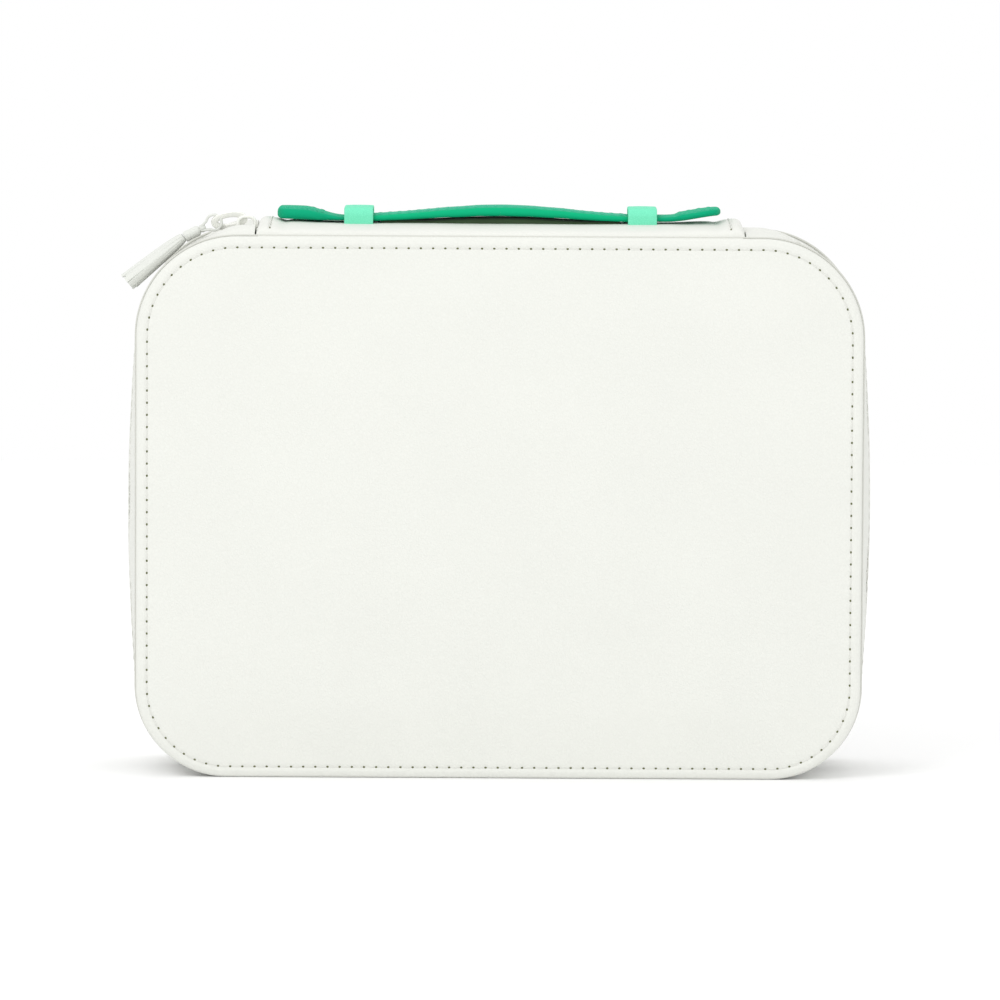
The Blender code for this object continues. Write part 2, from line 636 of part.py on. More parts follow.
def pull_ring(collection):
    """The flat oval ring that hangs in the slider's bridge. Returns it and its far band's place."""
    reach = (RING_LENGTH - RING_BAND) / 2
    slope = Matrix.Rotation(-RING_SLOPE, 3, "Y")
    along = slope @ Vector((-1, 0, 0))
    centre = Vector((PIVOT_X, 0, PIVOT_Z)) + along * reach
    turn = slope @ Matrix.Rotation(RING_TILT, 3, "X")
    outer = oval(RING_LENGTH, RING_WIDTH, RING_STEPS)
    inner = oval(RING_LENGTH - 2 * RING_BAND, RING_WIDTH - 2 * RING_BAND, RING_STEPS)
    ring = extruded("pull_ring", [outer, inner], turn, centre, RING_THICKNESS, collection,
                    "enamel", RING_EDGE_ROUND)
    return ring, centre + along * reach


def tassel_pieces(anchor, collection):
    """The tassel: a link through the ring, a collar and the fringe, draped over the corner."""
    tip = LINK_LENGTH - LINK_HOLE_RADIUS - LINK_WALL
    outer = arc((0, 0), LINK_HOLE_RADIUS + LINK_WALL, -130, 130, 14)
    neck = COLLAR_RADIUS * LINK_NECK
    outer += [(-tip, neck), (-tip, -neck)]
    hole = arc((0, 0), LINK_HOLE_RADIUS, 0, 345, 23)
    slope = Matrix.Rotation(-COLLAR_SLOPE, 3, "Y")
    link = extruded("tassel_link", [outer, hole], slope @ PLANE_XZ, anchor, LINK_WIDTH,
                    collection, "white_leather")
    along = slope @ Vector((-1, 0, 0))
    start = anchor + along * (tip + GAP)
    end = start + along * COLLAR_LENGTH
    collar = rod("tassel_collar", start, end, COLLAR_RADIUS, COLLAR_RADIUS, collection,
                 "white_leather")
    fall = Vector((-math.cos(FRINGE_SLOPE), 0, -math.sin(FRINGE_SLOPE)))
    fringe_start = end + along * GAP + fall * COLLAR_RADIUS / 2
    fringe = rod("tassel_fringe", fringe_start, fringe_start + fall * FRINGE_LENGTH,
                 FRINGE_START_WIDTH / 2, FRINGE_END_WIDTH / 2, collection, "white_leather",
                 FRINGE_FLATNESS)
    return [link, collar, fringe]


def make_pivot(name, place, collection, parent=None):
    """An empty on a joint's axis, which carries the pieces that turn or slide there."""
    pivot = bpy.data.objects.new(name, None)
    collection.objects.link(pivot)
    pivot.empty_display_size = 0.01
    pivot["place"] = tuple(place)
    origin = Vector(parent["place"]) if parent else Vector((0, 0, 0))
    pivot.parent = parent
    pivot.location = Vector(place) - origin
    return pivot


def carry(pivot, pieces):
    """Parent pieces to a pivot without moving them."""
    for piece in pieces:
        piece.parent = pivot
        piece.location = -Vector(pivot["place"])


def main():
    """Build the case and its moving groups."""
    clear_scene()
    case = make_collection("jewellery_case")
    half_shell(1, "back", case)
    tray_pieces(case)

    hinge_y = PANEL_INNER_Y + PANEL_THICKNESS / 2
    spine_pivot = make_pivot("spine_hinge", (0, hinge_y, CASE_HEIGHT), case)
    carry(spine_pivot, spine_pieces(case) + strap_loops(case))
    lid_pivot = make_pivot("lid_hinge", (0, -hinge_y, CASE_HEIGHT), case, spine_pivot)
    carry(lid_pivot, half_shell(-1, "front", case) + lid_pieces(case))
    for tab, hinge in necklace_tabs(case):
        carry(make_pivot(tab.name + "_hinge", hinge, case, lid_pivot), [tab])

    half_grip = GRIP_LENGTH / 2
    flex_end = LOOP_INNER_X + GAP * 3
    grip = strap_length("strap_grip", -half_grip, half_grip, 14, case)
    carry(make_pivot("strap_lift", (0, 0, STRAP_BASE_Z), case, spine_pivot), [grip])
    flexes = [strap_length("strap_flex_left", -flex_end, -half_grip - GAP, 8, case),
              strap_length("strap_flex_right", half_grip + GAP, flex_end, 8, case)]
    carry(spine_pivot, flexes)
    for label, side in (("left", -1), ("right", 1)):
        end = strap_end("strap_end_" + label, side, case)
        pivot = make_pivot("strap_slide_" + label, (side * LOOP_SPACING / 2, 0, STRAP_BASE_Z),
                           case, spine_pivot)
        carry(pivot, [end])

    arc_centre = (-ZIP_CENTRE_X, 0, ZIP_TOP - ZIP_CORNER_RADIUS)
    slider_pivot = make_pivot("slider_path", arc_centre, case)
    carry(slider_pivot, slider_pieces(case))
    ring, anchor = pull_ring(case)
    ring_pivot = make_pivot("ring_hinge", (PIVOT_X, 0, PIVOT_Z), case, slider_pivot)
    carry(ring_pivot, [ring])
    tassel_pivot = make_pivot("tassel_hinge", anchor, case, ring_pivot)
    carry(tassel_pivot, tassel_pieces(anchor, case))


main()
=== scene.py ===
"""A soft travel jewellery case in white pebbled leather, zipped round three of its sides.

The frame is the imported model: metres, +Z up, the front facing -Y, the origin under the middle
of the case. Sizes in this file are millimetres, and they become metres where a mesh is made.
"""

from __future__ import annotations

import logging
import math
from dataclasses import dataclass, field
from enum import Enum
from typing import ClassVar

import bpy
import numpy as np
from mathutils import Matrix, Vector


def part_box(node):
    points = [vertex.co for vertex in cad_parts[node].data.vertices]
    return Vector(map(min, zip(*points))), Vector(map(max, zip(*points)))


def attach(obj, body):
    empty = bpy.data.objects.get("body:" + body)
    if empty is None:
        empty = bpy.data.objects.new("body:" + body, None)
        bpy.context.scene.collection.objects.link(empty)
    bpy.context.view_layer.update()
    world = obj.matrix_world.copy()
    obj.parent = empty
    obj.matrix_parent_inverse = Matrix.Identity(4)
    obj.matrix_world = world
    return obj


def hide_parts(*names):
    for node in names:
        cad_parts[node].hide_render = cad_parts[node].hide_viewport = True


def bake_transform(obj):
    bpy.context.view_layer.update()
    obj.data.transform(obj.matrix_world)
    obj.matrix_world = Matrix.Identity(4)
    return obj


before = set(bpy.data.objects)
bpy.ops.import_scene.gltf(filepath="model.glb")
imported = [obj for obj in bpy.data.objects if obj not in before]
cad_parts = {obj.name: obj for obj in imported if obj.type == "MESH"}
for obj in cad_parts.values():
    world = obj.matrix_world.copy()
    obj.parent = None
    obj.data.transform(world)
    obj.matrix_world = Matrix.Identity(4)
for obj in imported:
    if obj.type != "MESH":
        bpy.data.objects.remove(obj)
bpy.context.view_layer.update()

LOG = logging.getLogger("jewellery_case")
MM = 0.001
TURN = 2 * math.pi
STITCH_PITCH = 4.15
ALONG_X = np.array([1.0, 0.0, 0.0])
ALONG_Y = np.array([0.0, 1.0, 0.0])
NEAR_SHUT = 0.12
THREAD_GAP = 0.9
STRAP_THREAD_GAP = 0.7
SLOPE_STEP = 0.05

Colour = tuple[float, float, float]


class Side(Enum):
    """The front half, which is the lid, or the back half. The value is the side's sign along Y."""

    FRONT = -1
    BACK = 1

    @property
    def body(self) -> str:
        """The body that the half belongs to."""
        return "lid" if self is Side.FRONT else "back"

    @property
    def label(self) -> str:
        """The half's name as it stands in the names of its pieces."""
        return self.name.lower()


class Hand(Enum):
    """Left or right as seen from the front. The value is the sign along X."""

    LEFT = -1
    RIGHT = 1

    @property
    def label(self) -> str:
        """The hand's name as it stands in the names of its pieces."""
        return self.name.lower()


def linear(red: int, green: int, blue: int) -> Colour:
    """A colour given as it looks on a screen, turned into light.

    Args:
        red: Red from 0 to 255.
        green: Green from 0 to 255.
        blue: Blue from 0 to 255.

    Returns:
        The linear colour: each share raised to 2.4 after the usual offset.
    """
    return tuple(((value / 255 + 0.055) / 1.055) ** 2.4 for value in (red, green, blue))


def dimmed(colour: Colour, share: float) -> Colour:
    """A colour with only a share of its light."""
    return tuple(value * share for value in colour)


def smooth(value: np.ndarray) -> np.ndarray:
    """A soft step: 0 below 0, 1 above 1, and 3t squared less 2t cubed between."""
    share = np.clip(value, 0.0, 1.0)
    return share * share * (3 - 2 * share)


def bell(value: np.ndarray, width: float) -> np.ndarray:
    """A bell of height 1 at 0: e to the power of minus the square of value over width."""
    return np.exp(-((np.asarray(value) / width) ** 2))


def ripple(across: np.ndarray, up: np.ndarray, length: float) -> np.ndarray:
    """Soft unevenness from -1 to 1: the mean of three sine waves that cross at odd angles.

    Args:
        across: First coordinate.
        up: Second coordinate.
        length: Rough distance from one swell to the next.

    Returns:
        The height at each point.
    """
    turn = TURN / length
    first = np.sin(turn * (0.92 * across + 0.39 * up) + 0.7)
    second = np.sin(turn * 1.31 * (0.31 * across - 0.95 * up) + 2.1)
    third = np.sin(turn * 0.63 * (across + 1.21 * up) + 4.4)
    return (first + second + third) / 3


def cad_box(node: str) -> tuple[np.ndarray, np.ndarray]:
    """The lowest and highest corner of a CAD node, in millimetres."""
    low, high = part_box(node)
    return np.array(low) / MM, np.array(high) / MM


# Surfaces


@dataclass
class Skin:
    """A surface: its points, its faces, and what varies over it from point to point."""

    points: np.ndarray
    faces: list[np.ndarray]
    marks: dict[str, np.ndarray] = field(default_factory=dict)

    def facing_out(self) -> Skin:
        """The same closed surface with its faces turned outwards.

        The volume is a sixth of the sum, over each face's fan of triangles, of the first
        corner dotted with the cross product of the other two. Where it is below 0, every
        face is reversed.
        """
        middle = self.points.mean(axis=0)
        volume = 0.0
        for faces in self.faces:
            corners = self.points[faces] - middle
            for step in range(1, faces.shape[1] - 1):
                volume += np.einsum("ij,ij->", corners[:, 0],
                                    np.cross(corners[:, step], corners[:, step + 1]))
        if volume < 0:
            self.faces = [faces[:, ::-1] for faces in self.faces]
        return self


def lattice(points: np.ndarray, round_across: bool = True, capped: bool = True,
            round_along: bool = False, marks: dict[str, np.ndarray] | None = None) -> Skin:
    """Faces over a grid of points, four corners to a face.

    Args:
        points: Rows by columns by 3.
        round_across: The last column joins the first.
        capped: The first and last rows are closed with one face each.
        round_along: The last row joins the first.
        marks: Values for each point, rows by columns.

    Returns:
        The surface.
    """
    rows, columns = points.shape[:2]
    index = np.arange(rows * columns).reshape(rows, columns)
    grid = np.vstack([index, index[:1]]) if round_along else index
    grid = np.hstack([grid, grid[:, :1]]) if round_across else grid
    quads = packed(grid[:-1, :-1], grid[1:, :-1], grid[1:, 1:], grid[:-1, 1:])
    faces = [quads.reshape(-1, 4)]
    if capped and not round_along:
        faces += [index[:1], index[-1:, ::-1]]
    flat = {name: np.broadcast_to(value, (rows, columns)).reshape(-1)
            for name, value in (marks or {}).items()}
    return Skin(points.reshape(-1, 3), faces, flat)


def flat_below(points: np.ndarray) -> Skin:
    """A closed surface whose top is a grid of points and whose underside is one flat face."""
    skin = lattice(points, round_across=False, capped=False)
    index = np.arange(points.shape[0] * points.shape[1]).reshape(points.shape[:2])
    border = np.concatenate([index[0, :], index[1:, -1], index[-1, -2::-1], index[-2:0:-1, 0]])
    skin.faces.append(border[None])
    return skin.facing_out()


def joined(skins: list[Skin]) -> Skin:
    """Several surfaces as one, with the marks that they all have."""
    starts = np.cumsum([0] + [len(skin.points) for skin in skins[:-1]])
    faces = [part + start for skin, start in zip(skins, starts) for part in skin.faces]
    names = set.intersection(*(set(skin.marks) for skin in skins))
    marks = {name: np.concatenate([skin.marks[name] for skin in skins]) for name in names}
    return Skin(np.concatenate([skin.points for skin in skins]), faces, marks)


def stamped(pattern: Skin, centres: np.ndarray, axes: np.ndarray) -> Skin:
    """Copies of one small surface, each at its own place and turned its own way.

    Args:
        pattern: The small surface, about its own origin.
        centres: The places, copies by 3.
        axes: For each copy, the directions of the pattern's X, Y and Z as rows.

    Returns:
        All copies as one surface. A point is its centre plus its coordinates along the axes.
    """
    count = len(centres)
    size = len(pattern.points)
    points = centres[:, None, :] + np.einsum("pj,kjd->kpd", pattern.points, axes)
    shift = np.arange(count)[:, None, None] * size
    faces = [(part[None] + shift).reshape(-1, part.shape[1]) for part in pattern.faces]
    return Skin(points.reshape(-1, 3), faces)


def rounded_section(width: float, height: float, radius: float, steps: int = 4) -> np.ndarray:
    """The outline of a rectangle with round corners, as points by 2, about its middle.

    Args:
        width: Size along the first axis.
        height: Size along the second axis.
        radius: Corner radius.
        steps: Steps in each corner.

    Returns:
        Each corner's centre plus the radius times the cosine and sine of a quarter turn.
    """
    quarter = np.linspace(0, math.pi / 2, steps + 1)
    corners = []
    for number, (right, top) in enumerate(((1, 1), (-1, 1), (-1, -1), (1, -1))):
        angle = quarter + number * math.pi / 2
        centre = np.array([right * (width / 2 - radius), top * (height / 2 - radius)])
        corners.append(centre + radius * packed(np.cos(angle), np.sin(angle)))
    return np.concatenate(corners)


def packed(*parts: np.ndarray) -> np.ndarray:
    """Arrays side by side along a new last axis."""
    return np.stack(parts, axis=-1)


def unit(vectors: np.ndarray) -> np.ndarray:
    """Vectors brought to length 1."""
    return vectors / np.maximum(np.linalg.norm(vectors, axis=-1, keepdims=True), 1e-12)


def carried(section: np.ndarray, path: np.ndarray, side: np.ndarray,
            scale: np.ndarray | None = None, closed: bool = False) -> Skin:
    """A closed section carried along a path.

    Args:
        section: Points by 2: along the side direction, and square to it and the path.
        path: Points by 3.
        side: The side direction, one for all or one for each point of the path.
        scale: How much the section grows at each point, one number or two.
        closed: The path ends where it starts.

    Returns:
        At each point of the path, the point plus the section's coordinates along the side
        direction and along the cross product of the path's direction and the side.
    """
    if closed:
        ahead = unit(np.roll(path, -1, axis=0) - np.roll(path, 1, axis=0))
    else:
        ahead = unit(np.gradient(path, axis=0))
    sides = np.broadcast_to(side, path.shape)
    sides = unit(sides - ahead * np.sum(sides * ahead, axis=-1, keepdims=True))
    ups = np.cross(ahead, sides)
    grown = np.ones((len(path), 2)) if scale is None else np.broadcast_to(
        scale if np.ndim(scale) == 2 else np.asarray(scale)[:, None], (len(path), 2))
    shape = section[None] * grown[:, None, :]
    points = path[:, None] + shape[..., :1] * sides[:, None] + shape[..., 1:] * ups[:, None]
    return lattice(points, round_along=closed).facing_out()


def turned(radii: np.ndarray, places: np.ndarray, start: np.ndarray, ahead: np.ndarray,
           side: np.ndarray, flatness: float = 1.0, steps: int = 32) -> Skin:
    """A turned piece: circles of the given radii at the given places along a straight axis."""
    angle = np.arange(steps) * TURN / steps
    circle = packed(np.cos(angle), np.sin(angle) * flatness)
    path = start + np.asarray(places)[:, None] * ahead
    return carried(circle, path, side, np.asarray(radii))


def pebble_drop(length: float, width: float, depth: float, rings: int = 3, steps: int = 8) -> Skin:
    """A small closed drop, flattened: an ellipsoid as circles between two nearly shut ends."""
    tilt = np.linspace(NEAR_SHUT, math.pi - NEAR_SHUT, rings + 2)
    angle = np.arange(steps) * TURN / steps
    points = packed(np.sin(tilt)[:, None] * np.cos(angle) * length / 2,
                    np.sin(tilt)[:, None] * np.sin(angle) * width / 2,
                    np.broadcast_to(np.cos(tilt)[:, None] * depth / 2, (rings + 2, steps)))
    return lattice(points).facing_out()


def thread_stitch(length: float, width: float, rise: float) -> Skin:
    """One stitch lying along X: a round thread that comes up out of one hole and goes down
    the next. Its height is the rise times the cosine of the way along, less a share that
    sinks both ends, and its thickness swells by a seventh in the middle."""
    way = np.linspace(-1, 1, 7)
    path = packed(way * length / 2, 0 * way, rise * (1.6 * np.cos(way * math.pi / 2) - 0.6))
    angle = np.arange(6) * TURN / 6
    section = packed(np.cos(angle), np.sin(angle)) * width / 2
    return carried(section, path, ALONG_Y, 0.86 + 0.14 * np.cos(way * math.pi / 2))


def make_mesh(name: str, skin: Skin, sharp_from: float = 50.0) -> bpy.types.Object:
    """An object whose mesh is the surface, in metres, shaded smooth up to an angle.

    Args:
        name: The object's name.
        skin: The surface, in millimetres.
        sharp_from: Edges that turn by more degrees than this stay sharp.

    Returns:
        The object, at the origin.
    """
    mesh = bpy.data.meshes.new(name)
    sizes = np.concatenate([np.full(len(part), part.shape[1]) for part in skin.faces])
    corners = np.concatenate([part.reshape(-1) for part in skin.faces])
    mesh.vertices.add(len(skin.points))
    mesh.vertices.foreach_set("co", (skin.points * MM).astype(np.float32).ravel())
    mesh.loops.add(len(corners))
    mesh.loops.foreach_set("vertex_index", corners.astype(np.int32))
    mesh.polygons.add(len(sizes))
    starts = np.concatenate([[0], np.cumsum(sizes)[:-1]])
    mesh.polygons.foreach_set("loop_start", starts.astype(np.int32))
    mesh.update(calc_edges=True)
    mesh.validate()
    mesh.polygons.foreach_set("use_smooth", np.ones(len(mesh.polygons), dtype=bool))
    mesh.set_sharp_from_angle(angle=math.radians(sharp_from))
    for mark, values in skin.marks.items():
        layer = mesh.attributes.new(mark, "FLOAT", "POINT")
        layer.data.foreach_set("value", values.astype(np.float32))
    piece = bpy.data.objects.new(name, mesh)
    bpy.context.scene.collection.objects.link(piece)
    return piece


def coated(name: str, skin: Skin, finish: Finish, sharp_from: float = 50.0) -> bpy.types.Object:
    """An object whose mesh is the surface, with a finish on it."""
    piece = make_mesh(name, skin, sharp_from)
    piece.data.materials.append(finish.material)
    return piece


# Shader nodes


class Wire:
    """A socket in a material that takes part in sums like a number."""

    def __init__(self, bench: Bench, socket: bpy.types.NodeSocket) -> None:
        """Keeps the bench that the socket is on, and the socket."""
        self.bench = bench
        self.socket = socket

    def _sum(self, operation: str, *values: Wire | float) -> Wire:
        """A Math node of the operation on the values."""
        return self.bench.node("ShaderNodeMath", {"operation": operation}, dict(enumerate(values)))

    def __add__(self, other: Wire | float) -> Wire:
        """This plus the other."""
        return self._sum("ADD", self, other)

    def __radd__(self, other: float) -> Wire:
        """The other plus this."""
        return self._sum("ADD", other, self)

    def __sub__(self, other: Wire | float) -> Wire:
        """This less the other."""
        return self._sum("SUBTRACT", self, other)

    def __rsub__(self, other: float) -> Wire:
        """The other less this."""
        return self._sum("SUBTRACT", other, self)

    def __mul__(self, other: Wire | float) -> Wire:
        """This times the other."""
        return self._sum("MULTIPLY", self, other)

    def __rmul__(self, other: float) -> Wire:
        """The other times this."""
        return self._sum("MULTIPLY", other, self)

    def __pow__(self, power: float) -> Wire:
        """This raised to a power."""
        return self._sum("POWER", self, power)

    def step(self, low: float, high: float) -> Wire:
        """A soft step from 0 at low to 1 at high."""
        return self.bench.node("ShaderNodeMapRange", {"interpolation_type": "SMOOTHSTEP"},
                               {0: self, 1: low, 2: high, 3: 0.0, 4: 1.0})

    def waves(self, pitch: float) -> Wire:
        """A wave from 0 to 1 that repeats each pitch."""
        return self._sum("SINE", self * (TURN / pitch)) * 0.5 + 0.5


class Bench:
    """One material's node tree, on which a finish is put together."""

    def __init__(self, name: str) -> None:
        """Starts a material with a Principled shader and its output."""
        self.material = bpy.data.materials.new(name)
        self.material.use_nodes = True
        self.tree = self.material.node_tree
        self.tree.nodes.clear()
        self.shader = self.tree.nodes.new("ShaderNodeBsdfPrincipled")
        output = self.tree.nodes.new("ShaderNodeOutputMaterial")
        self.tree.links.new(self.shader.outputs[0], output.inputs["Surface"])

    def node(self, kind: str, settings: dict | None = None, inputs: dict | None = None,
             output: int | str = 0) -> Wire:
        """Adds a node.

        Args:
            kind: The node's type.
            settings: What is set on the node itself, first. "stops" is a ramp's list of
                places and colours.
            inputs: Values or wires for its sockets, by number or name.
            output: Which of its outputs is wanted.

        Returns:
            That output.
        """
        made = self.tree.nodes.new(kind)
        for name, value in (settings or {}).items():
            if name == "stops":
                self._set_stops(made.color_ramp, value)
            else:
                setattr(made, name, value)
        for place, value in (inputs or {}).items():
            if isinstance(value, Wire):
                self.tree.links.new(value.socket, made.inputs[place])
            else:
                made.inputs[place].default_value = self._fitted(value)
        return Wire(self, made.outputs[output])

    @staticmethod
    def _fitted(value: float | tuple) -> float | tuple:
        """A colour of three numbers gets its fourth; a list stands for a vector."""
        if isinstance(value, tuple) and len(value) == 3:
            return (*value, 1.0)
        return value

    @staticmethod
    def _set_stops(ramp: bpy.types.ColorRamp, stops: list[tuple[float, Colour]]) -> None:
        """Gives a ramp its stops, adding those that it lacks."""
        while len(ramp.elements) < len(stops):
            ramp.elements.new(1.0)
        for element, (place, colour) in zip(ramp.elements, stops):
            element.position = place
            element.color = (*colour, 1.0)

    def place(self) -> Wire:
        """Object coordinates, in metres."""
        return self.node("ShaderNodeTexCoord", output="Object")

    def mark(self, name: str) -> Wire:
        """A value that the mesh carries at its points."""
        return self.node("ShaderNodeAttribute", {"attribute_name": name}, output="Fac")

    def noise(self, size: float, detail: float = 3.0, rough: float = 0.5,
              place: Wire | None = None) -> Wire:
        """Cloudy noise whose swells are about size millimetres apart."""
        return self.node("ShaderNodeTexNoise", {},
                         {"Vector": place or self.place(), "Scale": 1 / (size * MM),
                          "Detail": detail, "Roughness": rough}, "Fac")

    def cells(self, size: float, feature: str = "DISTANCE_TO_EDGE",
              place: Wire | None = None) -> Wire:
        """Cells about size millimetres across: how far a point is from the nearest border."""
        return self.node("ShaderNodeTexVoronoi", {"feature": feature},
                         {"Vector": place or self.place(), "Scale": 1 / (size * MM)}, "Distance")

    def shifted(self, amount: float, size: float) -> Wire:
        """Object coordinates pushed about by cloudy noise, amount millimetres at most."""
        inputs = {"Vector": self.place(), "Scale": 1 / (size * MM), "Detail": 1.0}
        cloud = self.node("ShaderNodeTexNoise", {}, inputs, "Color")
        push = self.node("ShaderNodeVectorMath", {"operation": "SCALE"},
                         {0: cloud, "Scale": amount * MM})
        return self.node("ShaderNodeVectorMath", {"operation": "ADD"}, {0: self.place(), 1: push})

    def mixed(self, share: Wire | float, first: Wire | Colour, second: Wire | Colour) -> Wire:
        """A colour between two, the second where share is 1."""
        return self.node("ShaderNodeMix", {"data_type": "RGBA"}, {0: share, 6: first, 7: second}, 2)

    def relief(self, height: Wire, depth: float, under: Wire | None = None) -> Wire:
        """The normal of a surface that height, from 0 to 1, raises by up to depth millimetres."""
        inputs = {"Height": height, "Distance": depth * MM, "Strength": 1.0}
        if under is not None:
            inputs["Normal"] = under
        return self.node("ShaderNodeBump", {}, inputs)

    def shade(self, **values: Wire | float | Colour) -> bpy.types.Material:
        """Sets the shader's sockets, named with underscores for spaces.

        Returns:
            The finished material.
        """
        for name, value in values.items():
            socket = self.shader.inputs[name.replace("_", " ")]
            if isinstance(value, Wire):
                self.tree.links.new(value.socket, socket)
            else:
                socket.default_value = self._fitted(value)
        return self.material


# Finishes


class Finish:
    """A finish that makes its material once and keeps it."""

    made: ClassVar[dict[str, bpy.types.Material]] = {}
    name: ClassVar[str]

    def build(self, bench: Bench) -> bpy.types.Material:
        """Puts the nodes together."""
        raise NotImplementedError

    @property
    def material(self) -> bpy.types.Material:
        """The finish's material."""
        if self.name not in Finish.made:
            Finish.made[self.name] = self.build(Bench(self.name))
        return Finish.made[self.name]


@dataclass(frozen=True)
class PebbledLeather(Finish):
    """Tumbled leather: rounded pebbles with fine creases between them, over soft wrinkles."""

    name: str
    colour: Colour
    # The crease colour is painted shade in the creases between pebbles.
    crease: Colour
    pebble: float = 1.25
    relief: float = 0.04
    crease_show: float = 0.05
    roughness: float = 0.46
    gloss: float = 0.5
    mottle: float = 0.05

    def build(self, bench: Bench) -> bpy.types.Material:
        """Pebbles are cells with round shoulders, a second finer set breaks them up, and cloudy
        noise varies the colour and the shine. The creases between pebbles are pulled towards the
        crease colour: painted shade."""
        pushed = bench.shifted(self.pebble * 0.7, self.pebble * 1.9)
        shoulders = bench.cells(self.pebble, place=pushed).step(0.0, 0.26)
        fine = bench.cells(self.pebble * 0.46, place=pushed).step(0.0, 0.3)
        pores = bench.noise(self.pebble * 0.22, 2.0)
        folds = bench.noise(self.pebble * 9, 4.0, 0.55)
        height = shoulders * 0.62 + fine * 0.24 + pores * 0.14
        clouds = bench.noise(38.0, 2.0)
        # Painted shade: the creases between pebbles darken towards the crease colour.
        crease_shading = (1 - shoulders) * self.crease_show
        dim = dimmed(self.colour, 1 - self.mottle)
        ground = bench.mixed(clouds, dim, self.colour)
        colour = bench.mixed(crease_shading, ground, self.crease)
        shine = self.roughness + (1 - height) * 0.16 + (folds - 0.5) * 0.1
        normal = bench.relief(height, self.relief, bench.relief(folds, self.relief * 2.2))
        return bench.shade(Base_Color=colour, Roughness=shine, Normal=normal,
                           Specular_IOR_Level=self.gloss)


@dataclass(frozen=True)
class StrapLeather(Finish):
    """Smooth dyed leather whose cut edges are sealed with glossier edge paint.

    The mesh's mark "edge" is 1 on the painted edge and 0 on the face.
    """

    name: str
    face: Colour
    edge: Colour
    roughness: float = 0.66
    gloss: float = 0.08

    def build(self, bench: Bench) -> bpy.types.Material:
        """Fine grain on the face, a few long brush ripples on the painted edge."""
        edge = bench.mark("edge").step(0.3, 0.7)
        grain = bench.cells(0.55, place=bench.shifted(0.4, 0.9)).step(0.0, 0.3)
        fine = bench.noise(0.3, 3.0)
        swell = bench.noise(6.0, 3.0)
        height = grain * 0.6 * (1 - edge * 0.8) + fine * 0.4
        dim = dimmed(self.face, 0.8)
        face = bench.mixed(1 - grain, bench.mixed(swell, dim, self.face), dim)
        painted = bench.mixed(swell, dimmed(self.edge, 0.93), self.edge)
        colour = bench.mixed(edge, face, painted)
        shine = self.roughness - edge * 0.1 + (swell - 0.5) * 0.12
        normal = bench.relief(height, 0.045, bench.relief(swell, 0.25))
        return bench.shade(Base_Color=colour, Roughness=shine, Normal=normal,
                           Specular_IOR_Level=self.gloss)


@dataclass(frozen=True)
class Velvet(Finish):
    """Brushed suede or velvet: short nap in drifts, with a pale sheen at glancing angles."""

    name: str
    colour: Colour
    sheen: float = 0.6
    nap: float = 0.35

    def build(self, bench: Bench) -> bpy.types.Material:
        """Drifts of nap from stretched noise darken and lighten the pile."""
        drifts = bench.noise(11.0, 4.0, 0.6)
        nap = bench.noise(self.nap, 3.0, 0.7)
        dim = dimmed(self.colour, 0.72)
        colour = bench.mixed((drifts * 0.7 + nap * 0.3).step(0.3, 0.7), dim, self.colour)
        normal = bench.relief(nap, 0.12, bench.relief(drifts, 0.3))
        return bench.shade(Base_Color=colour, Roughness=0.9 - drifts * 0.12, Normal=normal,
                           Sheen_Weight=self.sheen, Sheen_Roughness=0.4,
                           Specular_IOR_Level=0.15)


@dataclass(frozen=True)
class WovenTape(Finish):
    """Herringbone zip tape. The mesh's marks "along" and "across" are millimetres on it."""

    name: str
    colour: Colour
    yarn: float = 0.42

    def build(self, bench: Bench) -> bpy.types.Material:
        """Slanting ribs that turn back every few yarns, with each yarn rounded."""
        along = bench.mark("along")
        across = bench.mark("across")
        zigzag = bench.node("ShaderNodeMath", {"operation": "PINGPONG"},
                            {0: across, 1: self.yarn * 4})
        ribs = (along + zigzag).waves(self.yarn * 2)
        yarns = (along * 1.0).waves(self.yarn) * across.waves(self.yarn)
        height = ribs * 0.7 + yarns * 0.3
        fuzz = bench.noise(0.25, 2.0)
        dim = dimmed(self.colour, 0.74)
        colour = bench.mixed(height * 0.8 + fuzz * 0.2, dim, self.colour)
        return bench.shade(Base_Color=colour, Roughness=0.82 - ribs * 0.08,
                           Normal=bench.relief(height, 0.14), Sheen_Weight=0.2,
                           Specular_IOR_Level=0.25)


@dataclass(frozen=True)
class Fibres(Finish):
    """Two close shades in noise and a low shine: bonded thread, unless other numbers are given."""

    name: str
    colour: Colour
    size: float = 0.35
    detail: float = 2.0
    dim: float = 0.8
    roughness: float = 0.5
    dulling: float = 0.15
    relief: float = 0.06
    gloss: float = 0.35

    def build(self, bench: Bench) -> bpy.types.Material:
        """Noise mixes the shades and, where asked, dulls the shine and raises the fibres."""
        fibre = bench.noise(self.size, self.detail)
        colour = bench.mixed(fibre, dimmed(self.colour, self.dim), self.colour)
        shine = self.roughness + fibre * self.dulling if self.dulling else self.roughness
        normal = {"Normal": bench.relief(fibre, self.relief)} if self.relief else {}
        return bench.shade(Base_Color=colour, Roughness=shine, Specular_IOR_Level=self.gloss,
                           **normal)


@dataclass(frozen=True)
class GlossEnamel(Finish):
    """Hard enamel or moulded nylon: smooth and glossy, with the faint swell of a dipped coat."""

    name: str
    colour: Colour
    roughness: float = 0.16
    coat: float = 0.5

    def build(self, bench: Bench) -> bpy.types.Material:
        """A slow swell in the coat and a little dulling where it has been handled."""
        swell = bench.noise(3.5, 2.0)
        handled = bench.noise(1.2, 4.0, 0.6).step(0.45, 0.75)
        dim = dimmed(self.colour, 0.93)
        return bench.shade(Base_Color=bench.mixed(handled, self.colour, dim),
                           Roughness=self.roughness + handled * 0.14,
                           Normal=bench.relief(swell, 0.05), Coat_Weight=self.coat,
                           Coat_Roughness=0.08)


